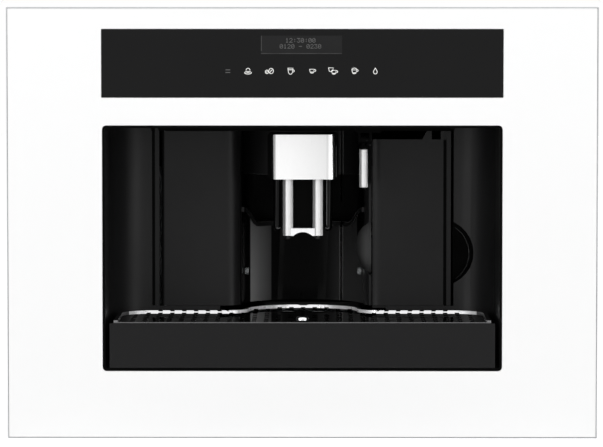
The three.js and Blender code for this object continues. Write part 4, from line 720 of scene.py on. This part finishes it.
class COFFEE_OT_front(bpy.types.Operator):
    """Makes the white glass pane and the metal frame that holds it"""

    bl_idname = "coffee.front"
    bl_label = "Front"

    def execute(self, context):
        dress("front_glass", sizes().glass_round, 3)
        dress("front_frame", sizes().sheet_round, 1)
        return {"FINISHED"}


GROOVE_FLOOR_Y, GROOVE_SIDES = 116 * MM, (152 * MM, 160 * MM)
LINER_RIM_Y, LINER_BACK_Y, LINER_HEAD = -6 * MM, 300 * MM, 298 * MM
# the middle and radius of each round finger hollow
LEFT_SCOOP = Vector((89.8 * MM, 0, 176 * MM)), 34.5 * MM
RIGHT_SCOOP = Vector((142.5 * MM, 0, 172 * MM)), 35 * MM
SCOOP_MOUTH_Y = 114.5 * MM


def in_a_scoop(middle, radius):
    """A test that's true on the floor and wall of a round finger hollow."""
    def inside(at, normal):
        out = Vector((at.x, 0, at.z)) - middle
        near = out.length < radius + 0.3 * MM and at.y > SCOOP_MOUTH_Y
        return near and (normal.y < -0.5 or out.dot(normal) < 0)
    return inside


def in_the_shade(at, normal):
    """True on the liner's groove floors, back, head and front rim, which are painted dark as shade."""
    groove = abs(at.y - GROOVE_FLOOR_Y) < 0.4 * MM and GROOVE_SIDES[0] < abs(at.x) < GROOVE_SIDES[1]
    far = at.y > LINER_BACK_Y or at.z > LINER_HEAD
    return groove and normal.y < -0.9 or far and normal.y < -0.5 or at.y < LINER_RIM_Y


class COFFEE_OT_cup_bay(bpy.types.Operator):
    """Makes the liner of the cup bay and the shelf that carries the tank"""

    bl_idname = "coffee.cup_bay"
    bl_label = "Cup bay"

    def execute(self, context):
        liner = dress("cavity_liner")
        # painted shade on the liner's grooves, back, head, front rim and right finger hollow
        paint_faces(liner, "deep_black", in_the_shade)
        paint_faces(liner, "deep_black", in_a_scoop(*RIGHT_SCOOP))
        dress("tank_shelf", 0.3 * MM, 1)
        return {"FINISHED"}


# ---------------------------------------------------------------- service door

RECESS_Y, RECESS_RADIUS = 132 * MM, 64 * MM
LEDGE_RADIUS, LEDGE_DEPTH = 61.5 * MM, 5 * MM
LEDGE_LOW, LEDGE_HIGH = 194 * MM, 220 * MM
LEDGE_END = (61 * MM, 66 * MM)
POCKET_Y, POCKET_REACH = 134 * MM, 64.5 * MM
HOOD_Y, HOOD_RADIUS, HOOD_HEIGHT = 192 * MM, 72 * MM, 252.6 * MM
SEAM_LEFT, SEAM_RIGHT = 39.4 * MM, 41.3 * MM
WALL_HEIGHTS, HOOD_HEIGHTS = (117 * MM, 195 * MM), (253.4 * MM, 298 * MM)
LEDGE_REACH, HOOD_REACH = 59.5 * MM, 62 * MM
RIM_STEP, RIM_INSET, RIM_RADIUS, SEAM_RADIUS = 1.2 * MM, 0.3 * MM, 0.45 * MM, 0.3 * MM
RIDGE = (141.8, 169.4, 32.3, 32.3, -57, 57, 24)
RIDGE_Y, RIDGE_RADIUS = 141.4 * MM, 0.4 * MM


def from_the_recess(at):
    """Which way and how far a point lies from the upright axis of the round recess."""
    return Vector((at.x, at.y - RECESS_Y, 0))


def on_recess_wall(at, normal):
    """True on the round wall behind the cups, below the ledge, where the moulding is polished and carries a
    painted reflection band.
    """
    out = from_the_recess(at)
    beside = abs(out.length - RECESS_RADIUS) < 1.6 * MM
    return beside and at.z < LEDGE_LOW and abs(normal.z) < 0.1 and out.dot(normal) < 0


def on_the_ledge(at, normal):
    """True on the front face of the wavy ledge and on its ends, which get a lighter black as painted light.
    """
    out = from_the_recess(at)
    face = abs(out.length - LEDGE_RADIUS) < MM and out.dot(normal) < 0
    end = abs(out.y) < 0.6 * MM and LEDGE_END[0] < abs(at.x) < LEDGE_END[1]
    return (face or end) and LEDGE_LOW < at.z < LEDGE_HIGH


def in_the_pocket(at, normal):
    """True on the walls of the hollow between the ledge and the hood, which are painted dark as shade."""
    inside = at.y > POCKET_Y and abs(at.x) < POCKET_REACH
    inside = inside and from_the_recess(at).length > LEDGE_RADIUS + 0.6 * MM
    facing = normal.y < -0.3 or normal.x * at.x < 0 or normal.z > 0.9
    return inside and facing and LEDGE_LOW < at.z < HOOD_HEIGHT - MM


def ledge_height(x):
    """The wavy ledge's upper edge at a distance from the middle."""
    start, end, low, high = 48 * MM, 62 * MM, 200.8 * MM, 218.4 * MM
    share = min(1, max(0, (abs(x) - start) / (end - start)))
    return low + (high - low) * share * share * (3 - 2 * share)


def recess_edge(height):
    """A place on the ledge's round front, at the height that goes with its X."""
    return lambda x: (x, RECESS_Y + math.sqrt(max(0, LEDGE_RADIUS**2 - x**2)), height(x))


def hood_edge(x):
    return (x, HOOD_Y - math.sqrt(max(0, HOOD_RADIUS**2 - x**2)), HOOD_HEIGHT + RIM_INSET)


def run_across(start, end, place):
    """Points of an edge that crosses the recess from side to side."""
    count = max(2, round(abs(end - start) / RIM_STEP))
    return [place(start + (end - start) * i / count) for i in range(count + 1)]


class COFFEE_OT_service_door(bpy.types.Operator):
    """Makes the hinged door, the fixed column beside it, their lamps and hinge pins"""

    bl_idname = "coffee.service_door"
    bl_label = "Service door"

    def execute(self, context):
        for node in ("service_door", "right_column"):
            piece = dress(node)
            # painted reflection band on the recess wall
            paint_faces(piece, "recess_wall", on_recess_wall)
            # painted shade in the pocket between the ledge and the hood
            paint_faces(piece, "deep_black", in_the_pocket)
            # painted light on the ledge's front face
            paint_faces(piece, "ledge_face", on_the_ledge)
            if node == "right_column":
                # painted light in the left finger hollow
                paint_faces(piece, "scoop_wall", in_a_scoop(*LEFT_SCOOP))
        self.rims()
        self.seams()
        # painted highlight: a ridge in the right finger hollow, in the lighter grey, for its highlight arc
        ridge = [(x * MM, RIDGE_Y, z * MM) for x, z in arc(*RIDGE)]
        trim("scoop_ridge", "appliance", RIDGE_RADIUS, ridge)
        for node in ("cup_light_left", "cup_light_right"):
            dress(node, 0.3 * MM, 1)
        for node in ("hinge_pin_bottom", "hinge_pin_top"):
            dress(node, 0.3 * MM)
        return {"FINISHED"}

    def rims(self):
        """The rounded edges of the ledge and the hood, each in two at the door's seam, as painted highlight
        lines.
        """
        top = recess_edge(lambda x: ledge_height(x) - RIM_INSET)
        foot = recess_edge(lambda x: ledge_height(x) - LEDGE_DEPTH + RIM_INSET)
        edges = (("ledge_top", top, LEDGE_REACH), ("ledge_foot", foot, LEDGE_REACH),
                 ("hood_rim", hood_edge, HOOD_REACH))
        for name, edge, reach in edges:
            trim(f"{name}_left", "door", RIM_RADIUS, run_across(-reach, SEAM_LEFT, edge))
            trim(f"{name}_right", "appliance", RIM_RADIUS, run_across(SEAM_RIGHT, reach, edge))

    def seams(self):
        """The rounded upright edges on both sides of the door's seam, as painted highlight lines."""
        left, right = SEAM_LEFT - 0.7 * MM, SEAM_RIGHT + 0.7 * MM
        for side, body, x in (("left", "door", left), ("right", "appliance", right)):
            wall = RECESS_Y + math.sqrt((RECESS_RADIUS - 0.1 * MM) ** 2 - x**2)
            face = HOOD_Y - math.sqrt(HOOD_RADIUS**2 - x**2)
            for name, y, (low, high) in (("wall", wall, WALL_HEIGHTS), ("hood", face, HOOD_HEIGHTS)):
                run = [(x, y, z) for z in (low, (low + high) / 2, high)]
                trim(f"seam_{name}_{side}", body, SEAM_RADIUS, run)


# ---------------------------------------------------------------- spout and wand

LEG_Y, LEG_BOTTOM, LEG_LENGTH, LEG_CHAMFER = 103 * MM, 190.3 * MM, 68.1 * MM, 0.4 * MM
BRIDGE_RISE, BRIDGE_FRONT, BRIDGE_BACK = 8 * MM, LEG_Y - 4.3 * MM, LEG_Y + 4.5 * MM
ARCH = (0, -10.1, 14, 14, 133.8, 46.2, 20)
CORE_INSIDE = 22 * MM
# places of the painted highlight lines on the spout's bars and guide
BAR_RADIUS, BAR_FOOT_X, BAR_FOOT_Z = 0.7 * MM, 25.4 * MM, 197.6 * MM
BAR_HIGHLIGHT_X, BAR_HEIGHTS = 24.8 * MM, (201 * MM, 230 * MM, 257 * MM)
GUIDE_HIGHLIGHT_X, GUIDE_HEIGHTS, GUIDE_RADIUS = 34.6 * MM, (251 * MM, 262 * MM, 273 * MM, 283 * MM), 0.4 * MM


class COFFEE_OT_spout(bpy.types.Operator):
    """Makes the spout's cover, its guide and the carriage that slides in it"""

    bl_idname = "coffee.spout"
    bl_label = "Spout"

    def execute(self, context):
        # painted shade: the guide is coated darker than its plastic
        dress("spout_guide", 0.8 * MM, 3, surface="deep_black")
        # painted reflection across the spout cover
        dress("spout_cover", 0.5 * MM, 3, surface="cover_steel")
        self.legs()
        core = dress("carriage_core", 0.4 * MM)
        # painted shade on the core between the legs
        paint_faces(core, "deep_black", lambda at, normal: abs(at.x) < CORE_INSIDE)
        for side in ("left", "right"):
            dress(f"coffee_nozzle_{side}", 0.3 * MM)
        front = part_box("carriage_core")[0].y
        # painted highlight: a short light arc at each bar's foot
        for side, x in (("left", -BAR_FOOT_X), ("right", BAR_FOOT_X)):
            foot = [(x + step * MM, front + 0.1 * MM, BAR_FOOT_Z + 0.4 * MM * abs(step))
                    for step in range(-2, 3)]
            trim(f"bar_foot_{side}", "spout", BAR_RADIUS, foot)
        # painted highlight lines down the right side of the bar and of the guide only
        edge = [(BAR_HIGHLIGHT_X, front + 0.2 * MM, z) for z in BAR_HEIGHTS]
        trim("bar_edge_right", "spout", BAR_RADIUS, edge)
        edge = [(GUIDE_HIGHLIGHT_X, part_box("spout_guide")[0].y + 0.1 * MM, z) for z in GUIDE_HEIGHTS]
        trim("guide_edge_right", "door", GUIDE_RADIUS, edge)
        return {"FINISHED"}

    def legs(self):
        """Two drawn tubes on an arched bridge, in one piece."""
        profile = [(0, 0), (LEG_RADIUS - LEG_CHAMFER, 0), (LEG_RADIUS, LEG_CHAMFER), (LEG_RADIUS, LEG_LENGTH),
                   (0, LEG_LENGTH)]
        legs = [turned(profile, (side * LEG_X, LEG_Y, LEG_BOTTOM)) for side in (-1, 1)]
        outline = [(-LEG_X, 0), *[(x * MM, z * MM) for x, z in arc(*ARCH)],
                   (LEG_X, 0), (LEG_X, BRIDGE_RISE), (-LEG_X, BRIDGE_RISE)]
        corners = [(x, BRIDGE_FRONT, LEG_BOTTOM + z) for x, z in outline]
        bridge = extruded("bridge", corners, [range(len(corners))], BRIDGE_BACK - BRIDGE_FRONT)
        soften(bridge, 0.3 * MM)
        for leg in legs:
            # painted reflection bands on the legs
            coat(leg, "leg_chrome")
        coat(bridge, "satin_chrome")
        carriage = joined([bridge, *legs])
        soften(carriage)
        stand_in(carriage, "spout_legs", "spout_carriage")


class COFFEE_OT_wand(bpy.types.Operator):
    """Makes the hot water and steam wand with its socket"""

    bl_idname = "coffee.wand"
    bl_label = "Wand"

    def execute(self, context):
        # painted shade: the socket and head under the ceiling are coated near-black
        for node in ("wand_socket", "wand_head"):
            dress(node, 0.4 * MM, surface="deep_black")
        low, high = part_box("wand_tip")
        radius, height = (high.x - low.x) / 2, high.z - low.z
        bore, depth = 1.2 * MM, 1.5 * MM
        profile = [(0, depth), (bore, depth), (bore, 0), (radius - 0.6 * MM, 0), (radius, 0.6 * MM),
                   (radius, height - 0.4 * MM), (radius - 0.4 * MM, height), (0, height)]
        tip = turned(profile, ((low.x + high.x) / 2, (low.y + high.y) / 2, low.z))
        soften(tip)
        # painted reflection bands on the wand
        coat(tip, "wand_chrome")
        stand_in(tip, "wand_tube", "wand_tip")
        return {"FINISHED"}


# ---------------------------------------------------------------- tray and tank

PLATE_TOP, RIM_TOP, DRAIN_Y, DRAIN_RADIUS = 110.4 * MM, 112.1 * MM, 107 * MM, 9.2
GRID_SIDE = 181 * MM
# (radius, height) in millimetres: the disc that floats, its stem and its domed head
FLOAT_PROFILE = [(0, 0), (12.6, 0), (13, 0.4), (13, 8.6), (12.6, 9), (4, 12), (4, 27.7), (8, 31.7), (8, 43.7),
                 (6.7, 43.9), (6.6, 44.9), (6.1, 45.5), (5.1, 45.9), (3.6, 46.2), (1.8, 46.4), (0, 46.4)]


class COFFEE_OT_drip_tray(bpy.types.Operator):
    """Makes the drip tray, its cup grid, float and the container for used coffee"""

    bl_idname = "coffee.drip_tray"
    bl_label = "Drip tray"

    def execute(self, context):
        dress("tray_front", 0.8 * MM, 3)
        dress("tray_basin", 0.3 * MM, 1)
        self.grid()
        low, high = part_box("tray_float")
        middle = (low + high) / 2
        head = turned([(r * MM, z * MM) for r, z in FLOAT_PROFILE], (middle.x, middle.y, low.z))
        soften(head, angle=40)
        stand_in(head, "float_head", "tray_float")
        dress("grounds_container")
        return {"FINISHED"}

    def grid(self):
        """The perforated plate: mirror-bright on its flats, satin and painted lighter where its rim turns,
        painted darker on its front faces and rim ends, with rimmed drains.
        """
        grid = copied("cup_grid", "cup_grid_skin")
        top = max(vertex.co.z for vertex in grid.data.vertices)
        for element in (*grid.data.edges, *grid.data.polygons):
            element.select = False
        for vertex in grid.data.vertices:
            vertex.select = vertex.co.z > top - 0.1 * MM
        pick(grid)
        bpy.ops.object.mode_set(mode="EDIT")
        bpy.ops.transform.translate(value=(0, 0, RIM_TOP - top))
        bpy.ops.object.mode_set(mode="OBJECT")
        soften(grid)
        coat(grid, "mirror_steel")
        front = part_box("cup_grid")[0].y

        def rim(at, normal):
            return at.z > PLATE_TOP + 0.1 * MM and abs(normal.z) < 0.5

        # painted shade on the front faces, painted light on the rim slopes, painted shade on the rim ends
        paint_faces(grid, "dull_steel", lambda at, normal: normal.y < -0.9 and at.y < front + 3 * MM)
        paint_faces(grid, "rim_steel", lambda at, normal: rim(at, normal) and abs(normal.x) > 0.3)
        paint_faces(grid, "dull_steel", lambda at, normal: rim(at, normal) and abs(at.x) > GRID_SIDE)
        stand_in(grid, "cup_grid_skin", "cup_grid")
        # painted highlight: the back arc of each drain's rim as a grey line
        for side, name in ((-1, "left"), (1, "right")):
            ring = [(side * LEG_X + x * MM, DRAIN_Y + y * MM, PLATE_TOP - 0.1 * MM)
                    for x, y in arc(0, 0, DRAIN_RADIUS, DRAIN_RADIUS, 50, 130, 20)]
            trim(f"drain_rim_{name}", "grid", 0.3 * MM, ring, "dull_steel", "chrome")


# the channel down the tank's cover, its inner faces painted dark as shade
CHANNEL_LEFT, CHANNEL_RIGHT, CHANNEL_TOP, CHANNEL_DEPTH = 146.2 * MM, 149.4 * MM, 289.6 * MM, 2.5 * MM


class COFFEE_OT_water_tank(bpy.types.Operator):
    """Makes the pull-out water tank with its front cover, lid and valve"""

    bl_idname = "coffee.water_tank"
    bl_label = "Water tank"

    def execute(self, context):
        box_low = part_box("tank_cover")[0]
        low = Vector((CHANNEL_LEFT, box_low.y - MM, box_low.z + 0.6 * MM))
        high = Vector((CHANNEL_RIGHT, box_low.y + CHANNEL_DEPTH, CHANNEL_TOP))
        cover = dress("tank_cover", channel=(low, high))

        def in_the_channel(at, normal):
            inside = all(low[i] - 0.2 * MM < at[i] < high[i] + 0.2 * MM for i in range(3))
            return inside and at.y > low.y + 1.2 * MM

        # painted shade inside the channel
        paint_faces(cover, "deep_black", in_the_channel)
        dress("tank_shell")
        # painted shade: the lid is coated near-black
        dress("tank_lid", surface="deep_black")
        dress("tank_valve")
        return {"FINISHED"}


# ---------------------------------------------------------------- housing and works

# corners of a near-black sheet behind the vents of the rear panel, painted shade that keeps the vents dark
SHADE_SHEET_LOW, SHADE_SHEET_HIGH = (-203 * MM, 381.6 * MM, 250 * MM), (168 * MM, 382.1 * MM, 350 * MM)


class COFFEE_OT_housing(bpy.types.Operator):
    """Makes the sheet metal housing, its base, deck and back, and the telescopic rails"""

    bl_idname = "coffee.housing"
    bl_label = "Housing and rails"

    def execute(self, context):
        for node in ("housing_cover", "rear_panel", "chassis_base", "upper_deck"):
            dress(node, sizes().sheet_round, 1)
        # painted shade: a near-black sheet behind the vents
        shade_sheet = block(SHADE_SHEET_LOW, SHADE_SHEET_HIGH)
        soften(shade_sheet, 0.15 * MM, 1)
        coat(shade_sheet, "deep_black")
        settle(shade_sheet, "rear_vent_screen", "black_plastic", "appliance")
        for member in ("outer", "middle", "inner"):
            for side in ("left", "right"):
                dress(f"{member}_rail_{side}", sizes().sheet_round, 1)
        return {"FINISHED"}


class COFFEE_OT_grinder(bpy.types.Operator):
    """Makes the grinder, bean hopper, ground coffee funnel, their lids and the grind knob"""

    bl_idname = "coffee.grinder"
    bl_label = "Grinder and hopper"

    def execute(self, context):
        for node in ("grinder_housing", "grinder_motor", "grinder_burr", "coffee_funnel", "grind_knob"):
            dress(node)
        dress("bean_hopper", 0.4 * MM, 1)
        for node in ("hopper_lid", "funnel_lid"):
            dress(node, 0.8 * MM, 3)
        return {"FINISHED"}


class COFFEE_OT_brew_unit(bpy.types.Operator):
    """Makes the brew unit's frame, chamber and release buttons"""

    bl_idname = "coffee.brew_unit"
    bl_label = "Brew unit"

    def execute(self, context):
        for node in ("brew_frame", "brew_chamber", "release_button_right", "release_button_left"):
            dress(node)
        return {"FINISHED"}


class COFFEE_OT_water_and_power(bpy.types.Operator):
    """Makes the pump, boilers, hose, power board, mains inlet and main switch"""

    bl_idname = "coffee.water_and_power"
    bl_label = "Water and power"

    def execute(self, context):
        for node in ("water_pump", "coffee_boiler", "steam_boiler"):
            dress(node, 0.8 * MM)
        for node in ("power_board", "mains_inlet", "main_switch"):
            dress(node, 0.3 * MM)
        dress("suction_hose", 0)
        return {"FINISHED"}


# ---------------------------------------------------------------- stage

CAMERA_PLACE = Vector((17.5 * MM, -3856 * MM, 445 * MM))
CAMERA_TARGET = Vector((-0.8 * MM, -20 * MM, 210.5 * MM))
LENS, SENSOR = 228, 36
FLOOR_SIZE, FLOOR_GREY, FLOOR_GLOW, AMBIENT = 12, (0.86, 0.86, 0.86), 0.5, 0.6
LIT = Vector((0, 0, 0.2))
# each soft box: its name, place, width, height and power
SOFT_BOXES = (
    ("left_box", (-1.7, -1.9, 1.0), 0.9, 2.0, 14),
    ("right_box", (1.9, -1.7, 0.8), 0.8, 1.8, 11),
    ("top_box", (0.1, -0.9, 2.2), 1.6, 1.2, 12),
)


def aimed(name, data, place, target):
    """A lamp or camera at a place, turned to face a target."""
    item = placed(name, data)
    item.location = place
    item.rotation_euler = (target - Vector(place)).to_track_quat("-Z", "Y").to_euler()
    return item


def softbox(name, place, width, height, power):
    light = bpy.data.lights.new(name, "AREA")
    light.shape = "RECTANGLE"
    light.size, light.size_y = width, height
    light.energy = power
    aimed(name, light, place, LIT)


def seen_directly(tree, socket, low, high):
    """Gives a strength its high for rays from the camera, a mirror or glass, else its low."""
    path = tree.nodes.new("ShaderNodeLightPath")
    seen = path.outputs["Is Camera Ray"]
    for ray in ("Is Glossy Ray", "Is Transmission Ray"):
        either = tree.nodes.new("ShaderNodeMath")
        either.operation = "MAXIMUM"
        tree.links.new(seen, either.inputs[0])
        tree.links.new(path.outputs[ray], either.inputs[1])
        seen = either.outputs["Value"]
    remap = tree.nodes.new("ShaderNodeMapRange")
    remap.inputs["To Min"].default_value = low
    remap.inputs["To Max"].default_value = high
    tree.links.new(seen, remap.inputs["Value"])
    tree.links.new(remap.outputs["Result"], socket)


def studio_world():
    world = bpy.data.worlds.new("studio")
    bpy.context.scene.world = world
    world.use_nodes = True
    background = world.node_tree.nodes["Background"]
    background.inputs["Color"].default_value = (1, 1, 1, 1)
    seen_directly(world.node_tree, background.inputs["Strength"], AMBIENT, 1.0)


def floor_finish():
    """A pale matte floor that shows near white and still takes the object's shadow."""
    material, tree, shader = shader_for("floor", FLOOR_GREY, 0.8, specular=0.1)
    shader.inputs["Emission Color"].default_value = (1, 1, 1, 1)
    seen_directly(tree, shader.inputs["Emission Strength"], 0.0, FLOOR_GLOW)
    tint(tree, speckle(tree, 4, 3), shader.inputs["Base Color"], FLOOR_GREY, 0.995, 1.005)
    return material


class COFFEE_OT_stage(bpy.types.Operator):
    """Sets up the floor, the studio light and the camera"""

    bl_idname = "coffee.stage"
    bl_label = "Stage"

    def execute(self, context):
        pick()
        bpy.ops.mesh.primitive_plane_add(size=FLOOR_SIZE, location=(0, 2, CAD_BOX[0][2]))
        floor = context.object
        floor.name = "floor"
        floor.data.materials.append(floor_finish())
        studio_world()
        for box in SOFT_BOXES:
            softbox(*box)

        camera_data = bpy.data.cameras.new("camera")
        camera_data.lens = LENS
        camera_data.sensor_width = SENSOR
        context.scene.camera = aimed("camera", camera_data, CAMERA_PLACE, CAMERA_TARGET)
        context.scene.view_settings.view_transform = "Standard"
        return {"FINISHED"}


# ---------------------------------------------------------------- add-on

OPERATORS = (
    COFFEE_OT_control_panel,
    COFFEE_OT_front,
    COFFEE_OT_cup_bay,
    COFFEE_OT_service_door,
    COFFEE_OT_spout,
    COFFEE_OT_wand,
    COFFEE_OT_drip_tray,
    COFFEE_OT_water_tank,
    COFFEE_OT_housing,
    COFFEE_OT_grinder,
    COFFEE_OT_brew_unit,
    COFFEE_OT_water_and_power,
    COFFEE_OT_stage,
)


class COFFEE_PT_panel(bpy.types.Panel):
    """Lists the pieces of the coffee machine"""

    bl_idname = "COFFEE_PT_panel"
    bl_label = "Coffee machine"
    bl_space_type = "VIEW_3D"
    bl_region_type = "UI"
    bl_category = "Coffee machine"

    def draw(self, context):
        settings = context.scene.coffee_machine
        column = self.layout.column()
        for operator in OPERATORS:
            column.operator(operator.bl_idname)
        for group in (settings.sizes, settings.colours):
            for name in group.bl_rna.properties.keys():
                if name not in {"rna_type", "name"}:
                    self.layout.prop(group, name)


CLASSES = (CoffeeMachineColours, CoffeeMachineSizes, CoffeeMachineSettings, *OPERATORS, COFFEE_PT_panel)


def register():
    for cls in CLASSES:
        bpy.utils.register_class(cls)
    bpy.types.Scene.coffee_machine = PointerProperty(type=CoffeeMachineSettings)


def unregister():
    del bpy.types.Scene.coffee_machine
    for cls in reversed(CLASSES):
        bpy.utils.unregister_class(cls)


def main():
    register()
    for operator in OPERATORS:
        group, name = operator.bl_idname.split(".")
        if getattr(getattr(bpy.ops, group), name)() != {"FINISHED"}:
            raise RuntimeError(f"{operator.bl_idname} didn't finish")


if __name__ == "__main__":
    main()
